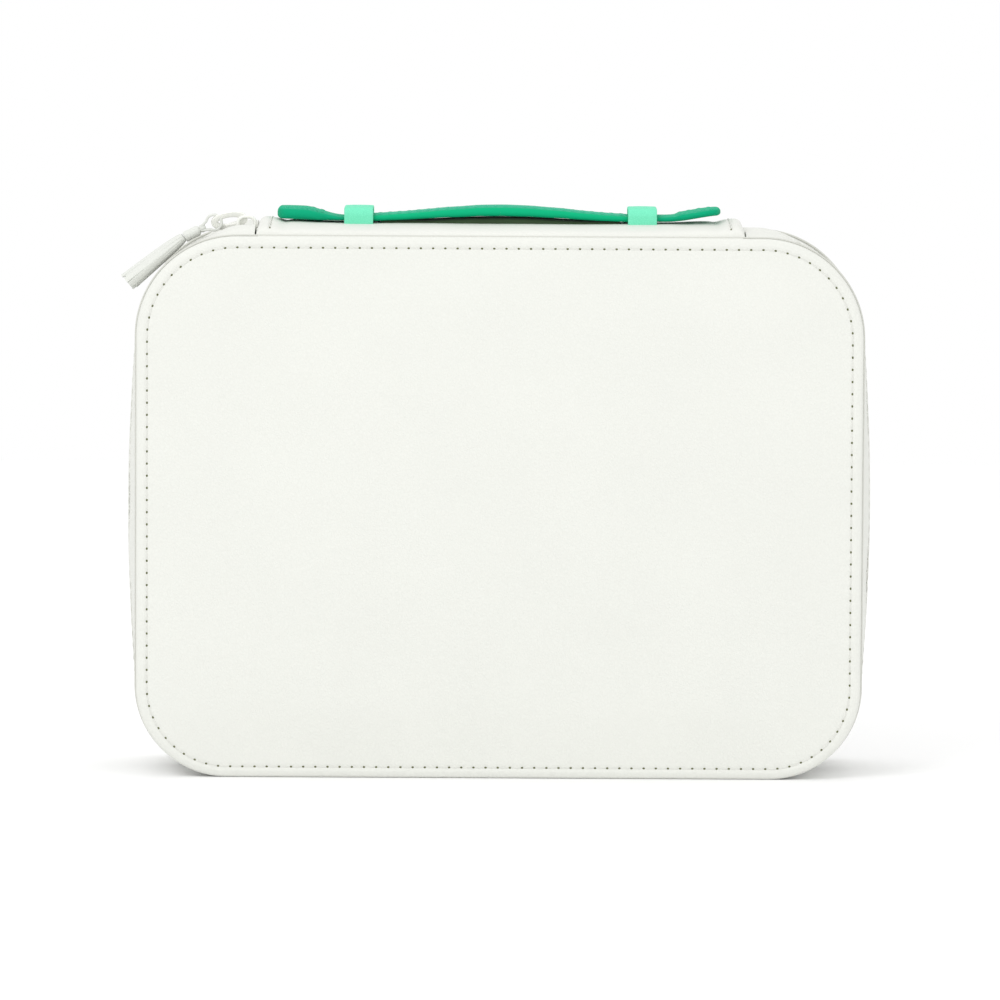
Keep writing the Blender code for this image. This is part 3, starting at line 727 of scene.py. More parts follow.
@dataclass(frozen=True)
class PolishedSteel(Finish):
    """Polished steel with hairline scratches."""

    name: str
    colour: Colour = (0.72, 0.72, 0.70)

    def build(self, bench: Bench) -> bpy.types.Material:
        """Scratches from noise stretched across, which dull the shine a little."""
        place = bench.node("ShaderNodeMapping", {}, {"Vector": bench.place(),
                                                     "Scale": [1.0, 1.0, 9.0]})
        scratches = bench.noise(0.6, 5.0, 0.7, place)
        return bench.shade(Base_Color=self.colour, Metallic=1.0,
                           Roughness=0.18 + scratches * 0.16,
                           Normal=bench.relief(scratches, 0.01))


@dataclass(frozen=True)
class PulpBoard(Finish):
    """Grey pulp board with flecks of fibre."""

    name: str
    colour: Colour

    def build(self, bench: Bench) -> bpy.types.Material:
        """Flecks are the peaks of fine noise."""
        flecks = bench.noise(0.8, 5.0, 0.7).step(0.52, 0.7)
        dim = dimmed(self.colour, 0.6)
        return bench.shade(Base_Color=bench.mixed(flecks, self.colour, dim),
                           Roughness=0.86 + flecks * 0.08, Normal=bench.relief(flecks, 0.05))


# Each crease colour below is painted shade in the creases between pebbles.
WHITE_LEATHER = PebbledLeather("white_pebbled_leather", (0.722, 0.730, 0.686), (0.52, 0.52, 0.46))
# A grey leather for the cord in the panel seam: painted shade.
SEAM_SHADE_LEATHER = PebbledLeather("grey_leather_edge", (0.60, 0.605, 0.56), (0.50, 0.50, 0.45))
# The tassel's colour is the white leather a shade darker: painted shade. Its finer pebble is its
# own grain.
SHADED_TASSEL_LEATHER = PebbledLeather("white_tassel_leather", (0.70, 0.715, 0.675), (0.52, 0.53, 0.48),
                                pebble=0.7, relief=0.010, crease_show=0.08, roughness=0.5)
MINT_LEATHER = PebbledLeather("mint_loop_leather", linear(122, 226, 188), linear(60, 180, 140),
                              pebble=0.6, relief=0.02, crease_show=0.2, roughness=0.62, gloss=0.15)
STRAP_LEATHER = StrapLeather("green_strap_leather", linear(58, 186, 148), linear(2, 172, 120))
PADDLE_LEATHER = StrapLeather("green_strap_end_leather", linear(40, 182, 140), linear(2, 160, 116))
# The needle holes are dark discs in the stitch grooves: their olive and dark green colours are
# painted shade in the holes.
HOLE_SHADE_FIBRES = {"size": 0.3, "detail": 3.0, "dim": 0.55, "roughness": 0.85, "dulling": 0.1,
                "relief": 0.1, "gloss": 0.1}
WHITE_THREAD = Fibres("white_thread", (0.73, 0.735, 0.69))
GREEN_THREAD = Fibres("green_thread", linear(40, 176, 138))
HOLE_SHADE = Fibres("olive_needle_hole", linear(112, 116, 82), **HOLE_SHADE_FIBRES)
GREEN_HOLE_SHADE = Fibres("green_needle_hole", linear(10, 92, 70), **HOLE_SHADE_FIBRES)
WHITE_TAPE = WovenTape("white_zip_tape", (0.72, 0.72, 0.67))
WHITE_NYLON = GlossEnamel("white_nylon_teeth", (0.74, 0.74, 0.70), 0.3, 0.0)
WHITE_ENAMEL = GlossEnamel("white_enamel", (0.84, 0.845, 0.80))
STEEL = PolishedSteel("polished_steel")
GREY_BOARD = PulpBoard("grey_board", linear(168, 166, 156))
MINT_SUEDE = Velvet("mint_suede", linear(120, 208, 180))
PALE_SUEDE = Velvet("pale_mint_suede", linear(176, 226, 206))
# An olive suede sheet under the strap: painted shade for the dark gap there.
OLIVE_SHADE_SUEDE = Velvet("olive_suede", linear(58, 76, 52), 0.1)
FLOOR_PAINT = Fibres("studio_floor", (0.93, 0.93, 0.93), size=160.0, dim=0.985, roughness=0.9,
                     dulling=0.0, relief=0.0, gloss=0.1)


def add_piece(name: str, skin: Skin, finish: Finish, body: str,
              replaced: tuple[str, ...] = (), sharp_from: float = 50.0) -> bpy.types.Object:
    """Makes a piece of the case, dresses it and lets it ride on its body.

    Args:
        name: The piece's name.
        skin: Its surface.
        finish: Its finish.
        body: The body that it moves with.
        replaced: CAD nodes that it stands for.
        sharp_from: Edges that turn by more degrees stay sharp.

    Returns:
        The piece.
    """
    piece = coated(name, skin, finish, sharp_from)
    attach(piece, body)
    if replaced:
        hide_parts(*replaced)
    LOG.info("%s: %d faces on %s", name, len(piece.data.polygons), body)
    return piece


def dress(node: str, finish: Finish) -> None:
    """Gives a CAD node that stays its finish."""
    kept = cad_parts[node]
    for place in kept.material_slots:
        place.material = finish.material


# The two padded panels


@dataclass(frozen=True)
class Outline:
    """A rectangle with round corners, walked anticlockwise from the middle of its foot."""

    half_width: float
    low: float
    high: float
    foot_radius: float
    top_radius: float

    @property
    def stops(self) -> np.ndarray:
        """The distances at which a straight run or a corner begins, and the whole length."""
        foot = [self.half_width - self.foot_radius, self.foot_radius * math.pi / 2]
        side = self.high - self.low - self.foot_radius - self.top_radius
        corner = self.top_radius * math.pi / 2
        top = 2 * (self.half_width - self.top_radius)
        runs = foot + [side, corner, top, corner, side] + foot[::-1]
        return np.concatenate([[0], np.cumsum(runs)])

    def walk(self, distance: np.ndarray, inset: np.ndarray) -> tuple[np.ndarray, np.ndarray]:
        """Points of the outline and the way out at each.

        The middle of the turn moves along the runs and waits at the corners, while the
        angle waits along the runs and turns at the corners. A point is the middle plus the
        radius, less the inset, along the angle.

        Args:
            distance: How far along the outline.
            inset: How far inside it.

        Returns:
            Points and directions, both ending in X and Z.
        """
        foot, top = self.half_width - self.foot_radius, self.half_width - self.top_radius
        low, high = self.low + self.foot_radius, self.high - self.top_radius
        radius = np.interp(distance, self.stops,
                           [self.foot_radius] * 3 + [self.top_radius] * 4 + [self.foot_radius] * 3)
        angle = np.radians(np.interp(distance, self.stops,
                                     [-90, -90, 0, 0, 90, 90, 180, 180, 270, 270]))
        middle_x = np.interp(distance, self.stops,
                             [0, foot, foot, top, top, -top, -top, -foot, -foot, 0])
        middle_z = np.interp(distance, self.stops, [low] * 3 + [high] * 4 + [low] * 3)
        out = packed(np.cos(angle), np.sin(angle))
        middle = packed(middle_x, middle_z)
        return middle + (radius - np.asarray(inset))[..., None] * out, out


@dataclass
class Panel:
    """One of the two big faces: a padded panel with a turned edge and a line of stitches."""

    side: Side
    foot_corner: float = 31.0
    top_corner: float = 34.2
    stitch_inset: float = 3.7
    steps_in_stitch: int = 6
    padding: float = 1.0
    groove: float = 0.26
    groove_width: float = 0.7
    pucker: float = 0.08
    unevenness: float = 0.18
    swell: float = 52.0
    inner_rings: int = 14
    edge_past: float = 0.2
    edge_cord: float = 0.8

    def __post_init__(self) -> None:
        """Takes the outer sizes from the CAD panel."""
        low, high = cad_box(f"{self.side.label}_panel")
        self.half_width, self.height = high[0], high[2]
        self.thickness = high[1] - low[1]
        self.root = min(abs(low[1]), abs(high[1]))
        line = self.stitch_inset
        self.line = Outline(self.half_width - line, line, self.height - line,
                            self.foot_corner - line, self.top_corner - line)
        self.stitches = round(self.line.stops[-1] / STITCH_PITCH)
        self.pitch = self.line.stops[-1] / self.stitches

    def relief(self, inset: np.ndarray, distance: np.ndarray) -> np.ndarray:
        """Height of the leather over the board's edge.

        It is the padding's soft step, less the stitch groove, which is a bell across the
        line and deeper at each hole, plus small puckers between the holes.

        Args:
            inset: How far inside the panel's edge.
            distance: How far along the stitch line.

        Returns:
            The height.
        """
        beat = np.cos(TURN * distance / self.pitch)
        at_hole = (0.5 + 0.5 * beat) ** 2
        padding = self.padding * smooth((inset - self.stitch_inset - 0.5) / 24)
        groove = self.groove * bell(inset - self.stitch_inset, self.groove_width)
        puckers = self.pucker * beat * bell(inset - self.stitch_inset, 1.9)
        ridge = 0.16 * bell(inset - self.stitch_inset + 1.35, 0.8)
        return padding + ridge - groove * (0.55 + 0.45 * at_hole) - puckers

    def skin(self) -> Skin:
        """Rings round the panel, from its back face over the round edge to the middle.

        The edge is half a circle. Inside it the rings crowd at the stitch line, by the
        hyperbolic sine. The last ones shrink towards the middle.
        """
        steps = self.steps_in_stitch
        distance = np.arange(self.stitches * steps) * self.pitch / steps
        turn = np.linspace(-math.pi / 2, math.pi / 2, 11)
        half = self.thickness / 2
        edge = half * (1 - np.cos(turn))
        fine = self.stitch_inset + 0.35 * np.sinh(np.linspace(-2.42, 4.8, 29))
        inset = np.concatenate([edge, fine])[:, None]
        flat, _ = self.line.walk(distance[None], inset - self.stitch_inset)
        height = half * (1 + np.sin(turn))
        height = np.concatenate([height, np.full(len(fine), self.thickness)])[:, None]
        proud = (inset >= half).astype(float)
        height = height + proud * self.relief(inset, distance[None])
        middle = np.array([0.0, self.height / 2])
        share = np.linspace(1, 0.03, self.inner_rings)[1:, None, None]
        flat = np.concatenate([flat, middle + (flat[-1:] - middle) * share])
        height = np.concatenate([height, np.broadcast_to(height[-1:], (self.inner_rings - 1,
                                                                      height.shape[1]))])
        uneven = self.unevenness * ripple(flat[..., 0], flat[..., 1], self.swell)
        depth = np.concatenate([inset, np.full((self.inner_rings - 1, 1), 60.0)])
        height = height + uneven * smooth((depth - self.stitch_inset) / 9)
        level = self.side.value * (self.root + height)
        points = packed(flat[..., 0], level, flat[..., 1])
        return lattice(points).facing_out()

    def placed(self, shift: float, rise: float) -> tuple[np.ndarray, np.ndarray]:
        """Places along the stitch line, one to a stitch.

        Args:
            shift: How much of a stitch they stand after the holes.
            rise: Height over the panel's flat.

        Returns:
            Points, and for each the directions along the line, outwards and off the panel.
        """
        distance = (np.arange(self.stitches) + shift) * self.pitch
        flat, out = self.line.walk(distance, 0.0 * distance)
        off = self.side.value
        level = np.full(self.stitches, off * (self.root + self.thickness + rise))
        points = packed(flat[:, 0], level, flat[:, 1])
        zero = np.zeros(self.stitches)
        along = packed(-out[:, 1], zero, out[:, 0])
        outwards = packed(out[:, 0], zero, out[:, 1])
        upwards = packed(zero, zero + off, zero)
        return points, np.stack([along, outwards, upwards], axis=1)

    def edge_line(self) -> Skin:
        """A thin grey cord just past the rim, in the seam between the panel and the wall: painted
        shade for the seam's line.
        """
        rim = Outline(self.half_width + self.edge_past, self.edge_past * 2 + 0.1,
                      self.height + self.edge_past, self.foot_corner, self.top_corner)
        distance = np.linspace(0, rim.stops[-1], 481)[:-1]
        flat, _ = rim.walk(distance, 0 * distance)
        depth = np.full(len(flat), self.side.value * (self.root + 0.2))
        path = packed(flat[:, 0], depth, flat[:, 1])
        section = rounded_section(self.edge_cord, self.edge_cord, 0.36, 3)
        return carried(section, path, ALONG_Y, closed=True)

    def build(self) -> None:
        """Makes the panel, its grey seam cord of painted shade, its thread and its needle holes,
        which are dark discs of painted shade.
        """
        name = self.side.label
        body = self.side.body
        add_piece(f"{name}_padded_panel", self.skin(), WHITE_LEATHER, body,
                  (f"{name}_panel",))
        # The grey cord along the rim is painted shade in the seam.
        add_piece(f"{name}_panel_edge", self.edge_line(), SEAM_SHADE_LEATHER, body)
        thread = stamped(thread_stitch(self.pitch - THREAD_GAP, 0.62, 0.14),
                         *self.placed(0.5, -0.3))
        add_piece(f"{name}_panel_stitches", thread, WHITE_THREAD, body)
        # Dark discs in the stitch groove: painted shade in the needle holes.
        holes = stamped(pebble_drop(1.0, 0.72, 0.3), *self.placed(0.0, -self.groove - 0.02))
        add_piece(f"{name}_panel_needle_holes", holes, HOLE_SHADE, body)


# The soft wall with its zip


@dataclass
class Wall:
    """The soft wall round the case's two sides and foot, which swells where the zip runs.

    Its path starts at one end of the spine, goes down one side, along the foot and up the
    other side. "way" counts it from 0 to 10: a short top run, a corner, a side, a corner
    and half the foot, then the same mirrored.
    """

    seam_inset: float = 0.6
    corner: float = 31.0
    seam_corner: float = 33.6
    zip_side_inset: float = 0.4
    zip_crown: float = 1.0
    zip_corner: float = 36.0
    mouth: float = 83.5
    bulge: float = 5.5
    bulge_top: float = 172.6
    bulge_foot: float = 7.0
    opening: float = 4.5
    thickness: float = 1.8
    stitch_line: float = 7.6
    tooth_pitch: float = 1.5
    left_puff: float = 3.4
    right_puff: float = 1.7
    puff_reach: float = 17.0

    def __post_init__(self) -> None:
        """Takes the case's size from the CAD panel and the wall's depth from the gusset."""
        self.half_width, _, self.height = cad_box("back_panel")[1]
        self.half_depth = cad_box("back_gusset")[1][1]
        fine = np.linspace(0, 10, 4001)
        track = self.path(fine, np.zeros(1))[:, 0]
        steps = np.linalg.norm(np.diff(track, axis=0), axis=-1)
        self._fine_way = fine
        self._fine_distance = np.concatenate([[0], np.cumsum(steps)])
        self.length = self._fine_distance[-1]

    def _outline(self, way: np.ndarray, half_width: float, top: float, top_radius: float,
                 foot_radius: float) -> np.ndarray:
        """One outline of the wall, X and Z: the middle of the turn moves along the runs, the
        angle turns at the corners, and the second half mirrors the first."""
        fold = np.minimum(way, 10 - way)
        stops = np.arange(6)
        upper, lower = half_width - top_radius, half_width - foot_radius
        middle_x = np.interp(fold, stops, [self.mouth, upper, upper, lower, lower, 0])
        middle_z = np.interp(fold, stops, [top - top_radius] * 3 + [foot_radius] * 3)
        radius = np.interp(fold, stops, [top_radius] * 3 + [foot_radius] * 3)
        angle = np.radians(np.interp(fold, stops, [90, 90, 180, 180, 270, 270]))
        x = (radius * np.cos(angle) - middle_x) * np.where(way <= 5, 1, -1)
        return packed(x, middle_z + radius * np.sin(angle))

    def path(self, way: np.ndarray, depth: np.ndarray) -> np.ndarray:
        """The wall's outer face, ways by depths by X and Z.

        It is the seam's outline at the panel and the zip's in the middle, mixed in
        proportion to the depth between. The zip's outline swells to both sides by a sine.
        """
        seam = self._outline(way, self.half_width - self.seam_inset, self.height - self.seam_inset,
                             self.seam_corner - self.seam_inset, self.corner - self.seam_inset)
        crown = self._outline(way, self.half_width - self.zip_side_inset,
                              self.height + self.zip_crown, self.zip_corner, self.corner)
        rise = np.clip((crown[:, 1] - self.bulge_foot) / (self.bulge_top - self.bulge_foot), 0, 1)
        crown[:, 0] += np.sign(crown[:, 0]) * self.bulge * np.sin(math.pi * rise)
        share = np.abs(depth)[None, :, None] / self.half_depth
        return seam[:, None] * share + crown[:, None] * (1 - share)

    def at(self, distance: np.ndarray) -> np.ndarray:
        """The way at each distance along the zip."""
        return np.interp(distance, self._fine_distance, self._fine_way)

    def frame_at(self, way: np.ndarray, depth: np.ndarray) -> tuple[np.ndarray, np.ndarray]:
        """Points of the outer face and the way out at each, ways by depths by X, Y and Z."""
        step = 0.004
        face = self.path(way, depth)
        before, after = np.maximum(way - step, 0), np.minimum(way + step, 10)
        ahead = unit(self.path(after, depth) - self.path(before, depth))
        level = np.broadcast_to(depth[None, :], face.shape[:2])
        points = packed(face[..., 0], level, face[..., 1])
        out = packed(ahead[..., 1], 0 * level, -ahead[..., 0])
        return points, out

    def strip(self, distance: np.ndarray, section: np.ndarray,
              sink: np.ndarray | float = 0.0) -> Skin:
        """A closed section carried round the wall.

        Args:
            distance: Stations along the zip.
            section: Points by depth and inset.
            sink: More inset at each station and point.

        Returns:
            Each point is the outer face at its depth, less its inset along the way out.
            Marks "along" and "across" keep the distance and the depth.
        """
        points, out = self.frame_at(self.at(distance), section[:, 0])
        inset = section[None, :, 1] + sink
        marks = {"along": distance[:, None] + 0 * inset, "across": section[None, :, 0] + 0 * inset}
        return lattice(points - inset[..., None] * out, marks=marks).facing_out()

    def gusset_section(self) -> np.ndarray:
        """The gusset's section as depth and inset: a lip under the panel, the outer face, the
        half circle of its folded edge at the zip, and the inner face."""
        lip = np.array([[28.1, 1.1], [28.05, 0.75], [27.8, 0.42], [27.45, 0.18], [27.0, 0.04]])
        face = np.linspace(26.3, self.stitch_line + 2.2, 20)
        line = self.stitch_line + 0.32 * np.sinh(np.linspace(2.4, -2.1, 10))
        turn = np.linspace(math.pi / 2, 3 * math.pi / 2, 9)
        half = self.thickness / 2
        fold = packed(self.opening + half + half * np.cos(turn), half - half * np.sin(turn))
        inner = np.linspace(8, 28.1, 6)
        flats = [packed(run, 0 * run + level)
                 for run, level in ((face, 0.0), (line, 0.0), (inner, self.thickness))]
        return np.concatenate([lip, flats[0], flats[1], fold, flats[2]])

    def gusset(self, side: Side) -> None:
        """Makes one half's gusset with its stitches along the zip."""
        count = round(self.length / STITCH_PITCH)
        pitch = self.length / count
        distance = np.linspace(0, self.length, count * 6 + 1)
        section = self.gusset_section()
        depth = section[None, :, 0]
        outer = (section[None, :, 1] < self.thickness / 2) & (depth > self.opening + 0.4)
        beat = np.cos(TURN * distance / pitch)[:, None]
        groove = bell(depth - self.stitch_line, 0.6) * (0.24 + 0.14 * beat)
        swells = 0.22 * ripple(distance[:, None] * side.value, depth * 1.3, 27.0)
        swells = swells * smooth((27 - depth) / 5) * smooth((depth - 5) / 4)
        gathers = 0.07 * beat * bell(depth - 26.6, 1.1)
        across = np.clip((27.2 - depth) / (27.2 - self.opening - 1), 0, 1)
        near_left = smooth(1.15 - distance / self.puff_reach)
        near_right = smooth(1.15 - (self.length - distance) / self.puff_reach)
        puff = (self.left_puff * near_left + self.right_puff * near_right)[:, None]
        puff = puff * np.sin(math.pi * across ** 0.9) ** 0.8
        sink = outer * (groove + swells + gathers) - puff
        section = section * [side.value, 1]
        skin = self.strip(distance, section, sink)
        name, body = side.label, side.body
        add_piece(f"{name}_gusset_leather", skin, WHITE_LEATHER, body,
                  (f"{name}_gusset",))
        middles = (np.arange(count - 1) + 1.0) * pitch - pitch / 2
        thread = stamped(thread_stitch(pitch - THREAD_GAP, 0.48, 0.16),
                         *self.placed(middles, side.value * self.stitch_line, 0.12))
        add_piece(f"{name}_gusset_stitches", thread, WHITE_THREAD, body)
        # Dark discs in the stitch groove: painted shade in the needle holes.
        holes = stamped(pebble_drop(0.85, 0.65, 0.3),
                        *self.placed(np.arange(1, count) * pitch,
                                     side.value * self.stitch_line, 0.3))
        add_piece(f"{name}_gusset_needle_holes", holes, HOLE_SHADE, body)

    def placed(self, distance: np.ndarray, depth: float,
               inset: float) -> tuple[np.ndarray, np.ndarray]:
        """Places on the wall at one depth, with the directions along, across and outwards."""
        points, out = self.frame_at(self.at(distance), np.array([depth]))
        points, out = points[:, 0], out[:, 0]
        across = np.broadcast_to([0.0, 1.0, 0.0], out.shape)
        return points - inset * out, np.stack([np.cross(across, out), across, out], axis=1)

    def tape(self, side: Side) -> None:
        """Makes one half's zip tape, a thin band with rounded edges."""
        low, high = cad_box(f"{side.label}_zipper_tape")
        near, far = sorted(abs(value) for value in (low[1], high[1]))
        middle, width = (near + far) / 2, far - near
        section = rounded_section(width, 0.8, 0.35, 3) + [middle, 2.5]
        across = np.linspace(0, 1, 9)[1:-1]
        reach = section[3, 0] + across * (section[4, 0] - section[3, 0])
        top_run = packed(reach, 0 * across + section[3, 1])
        section = np.concatenate([section[:4], top_run, section[4:]])
        skin = self.strip(np.linspace(0, self.length, 560), section * [side.value, 1])
        add_piece(f"{side.label}_zip_tape", skin, WHITE_TAPE, side.body,
                  (f"{side.label}_zipper_tape",))

    def tooth(self) -> Skin:
        """One tooth along Y, its head towards +Y: rounded sections that swell at the root and
        the head, with nearly shut ends."""
        place = np.array([-1.45, -1.3, -0.7, 0.1, 0.62, 0.95, 1.08])
        wide = np.array([0.12, 0.42, 0.33, 0.28, 0.37, 0.31, 0.1])
        tall = np.array([0.3, 1.0, 1.05, 0.92, 0.98, 0.8, 0.25])
        angle = np.arange(8) * TURN / 8
        ring = packed(np.cos(angle), np.sin(angle))
        points = packed(wide[:, None] * ring[:, 0], place[:, None] + 0 * ring[:, 0],
                        tall[:, None] * ring[:, 1])
        return lattice(points).facing_out()

    def teeth(self, side: Side) -> None:
        """Makes one row of teeth. The two rows stand half a pitch apart, so they mesh."""
        count = int(self.length / self.tooth_pitch) - 1
        start = self.tooth_pitch * (0.75 if side is Side.FRONT else 1.25)
        distance = start + np.arange(count) * self.tooth_pitch
        points, axes = self.placed(distance, side.value * 0.82, 2.1)
        axes = axes * np.array([1, -side.value, 1])[None, :, None]
        skin = stamped(self.tooth(), points, axes)
        if side is Side.BACK:
            skin.faces = [faces[:, ::-1] for faces in skin.faces]
        add_piece(f"{side.label}_zip_teeth", skin, WHITE_NYLON, side.body,
                  (f"{side.label}_zipper_teeth",), 80)

    def build(self) -> None:
        """Makes both halves of the wall."""
        for side in Side:
            self.gusset(side)
            self.tape(side)
            self.teeth(side)


# The spine and its loops


@dataclass
class Spine:
    """The strip along the top: a padded leather cover whose ends are folded over and sewn."""

    edge_power: float = 16.0
    end_power: float = 130.0
    fold_place: float = 2.6
    fold_width: float = 4.6
    fold_rise: float = 1.3
    stitch_place: float = 4.6
    groove: float = 0.36
    long_steps: int = 300
    cross_steps: int = 72
    hinge_reach: float = 2.6
    hinge_rise: float = 0.45

    def __post_init__(self) -> None:
        """Takes the cover's sizes from its CAD pieces."""
        low, high = cad_box("spine_panel")
        self.base, self.ridge = low[2], high[2] - low[2]
        self.half_depth = high[1]
        self.half_length = cad_box("spine_fold_right")[1][0]
        self.edge_height = 1.6

    def height(self, x: np.ndarray, y: np.ndarray) -> np.ndarray:
        """Height of the cover's leather.

        A parabola across from the edges to the ridge, plus a bell at each folded end, less a
        groove at each line of stitches. Near the rims it falls by the square root of 1 less
        a high power of the way out, which rounds them.
        """
        across = np.clip(y / self.half_depth, -1, 1)
        along = np.clip(x / self.half_length, -1, 1)
        crown = self.edge_height + (self.ridge - self.edge_height) * (1 - across ** 2)
        from_end = self.half_length - np.abs(x)
        fold = self.fold_rise * bell(from_end - self.fold_place, self.fold_width)
        fold = fold + 0.45 * bell(from_end - 13, 9)
        beat = np.cos(TURN * y / STITCH_PITCH)
        line = (self.groove + 0.16 * beat) * bell(from_end - self.stitch_place, 0.55)
        crease = 0.3 * bell(from_end - 9.4, 1.6)
        uneven = 0.16 * ripple(x, y * 1.5, 38.0)
        rim = np.sqrt(np.clip(1 - np.abs(across) ** self.edge_power, 0, 1))
        end = np.sqrt(np.clip(1 - np.abs(along) ** self.end_power, 0, 1))
        return self.base + (crown + fold - line - crease + uneven) * rim * end

    def cover(self) -> Skin:
        """The cover: its height over a grid that crowds at the rims, and a flat underside."""
        share = np.sin(np.linspace(-1, 1, self.cross_steps + 1) * math.pi / 2)
        along = np.linspace(-1, 1, self.long_steps + 1)
        along = np.sign(along) * (1 - (1 - np.abs(along)) ** 1.7)
        x, y = np.meshgrid(along * self.half_length, share * self.half_depth, indexing="ij")
        points = packed(x, y, self.height(x, y))
        return flat_below(points)

    def ends_stitches(self, rise: float, shift: float) -> tuple[np.ndarray, np.ndarray]:
        """Places of the stitches across both ends, with their directions."""
        count = int(2 * self.half_depth / STITCH_PITCH) // 2
        y = (np.arange(-count, count + 1) + shift) * STITCH_PITCH
        y = y[np.abs(y) < self.half_depth - 0.35]
        places, frames = [], []
        for hand in Hand:
            x = np.full(len(y), hand.value * (self.half_length - self.stitch_place))
            slope = self.height(x, y + SLOPE_STEP) - self.height(x, y - SLOPE_STEP)
            slope = slope / (2 * SLOPE_STEP)
            along = unit(packed(0 * y, 1 + 0 * y, slope))
            across = np.broadcast_to([1.0, 0.0, 0.0], along.shape)
            out = np.cross(across, along)
            places.append(packed(x, y, self.height(x, y)) + rise * out)
            frames.append(np.stack([along, -across, out], axis=1))
        return np.concatenate(places), np.concatenate(frames)

    def hinge(self, side: Side) -> None:
        """Makes the leather strip between the spine and one panel.

        Its section is a thin band that runs from under the cover into the panel's edge.
        """
        panel_edge = cad_box(f"{side.label}_panel")[1][2]
        across = np.linspace(self.half_depth - 1.6, self.half_depth + self.hinge_reach, 18)
        fall = smooth((across - self.half_depth + 0.2) / self.hinge_reach)
        crown = self.base + self.hinge_rise
        level = crown - fall * (crown - panel_edge + 0.8)
        loop = np.concatenate([packed(across, level), packed(across, level - 0.8)[::-1]])
        along = np.linspace(-1, 1, 61) * (self.half_length - 0.6)
        points = np.empty((len(along), len(loop), 3))
        points[..., 0] = along[:, None]
        points[..., 1] = side.value * loop[:, 0]
        points[..., 2] = loop[:, 1]
        strip = coated(f"{side.label}_hinge_leather", lattice(points).facing_out(), WHITE_LEATHER)
        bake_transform(strip)
        LOG.info("%s: blended between the spine and %s", strip.name, side.body)

    def build(self) -> None:
        """Makes the cover, its stitches and the hinge strips."""
        add_piece("spine_cover", self.cover(), WHITE_LEATHER, "spine",
                  ("spine_panel", "spine_fold_left", "spine_fold_right"))
        thread = thread_stitch(STITCH_PITCH - THREAD_GAP, 0.5, 0.16)
        thread = stamped(thread, *self.ends_stitches(0.02, 0.5))
        add_piece("spine_end_stitches", thread, WHITE_THREAD, "spine")
        # Dark discs on the stitch line: painted shade in the needle holes.
        holes = stamped(pebble_drop(1.0, 0.8, 0.4), *self.ends_stitches(0.04, 0.0))
        add_piece("spine_end_needle_holes", holes, HOLE_SHADE, "spine")
        for side in Side:
            self.hinge(side)


@dataclass
class StrapLoop:
    """A loop of mint leather that comes up through the spine and holds the strap down."""

    hand: Hand
    wall: float = 1.0
    corner: float = 2.3
    sunk: float = 1.3
    drop: float = 0.8
    slim: float = 0.5

    def build(self) -> None:
        """Makes the loop.

        A flat band with round edges is carried up one side, over the strap and down the
        other. The path's corners are quarter circles.
        """
        node = f"strap_loop_{self.hand.label}"
        low, high = cad_box(node)
        half = high[1] - self.wall / 2
        top = high[2] - self.drop - self.wall / 2
        foot = low[2] - self.sunk
        middle = (low[0] + high[0]) / 2
        rise = np.linspace(foot, top - self.corner, 9)
        turn = np.linspace(0, math.pi / 2, 9)[1:]
        over = np.linspace(half - self.corner, 0, 7)[1:]
        bend_y = half - self.corner + self.corner * np.cos(turn)
        bend_z = top - self.corner + self.corner * np.sin(turn)
        right_y = np.concatenate([np.full(9, half), bend_y, over])
        right_z = np.concatenate([rise, bend_z, np.full(6, top)])
        y = np.concatenate([right_y, -right_y[-2::-1]])
        z = np.concatenate([right_z, right_z[-2::-1]])
        z = z + 0.12 * np.cos(y / half * math.pi / 2) * (z > top - 0.01)
        path = packed(np.full(len(y), middle), y, z)
        across = np.linspace(-0.5, 0.5, 9)[1:-1]
        width = high[0] - low[0] - self.slim
        section = rounded_section(width, self.wall, self.wall * 0.42, 3)
        top_run = packed(-across * (width - self.wall), 0 * across + self.wall / 2)
        top_run[:, 1] += 0.1 * np.cos(across * math.pi)
        section = np.concatenate([section[:4], top_run, section[4:]])
        skin = carried(section, path, ALONG_X)
        add_piece(f"{node}_leather", skin, MINT_LEATHER, "spine", (node,))


# The carrying strap


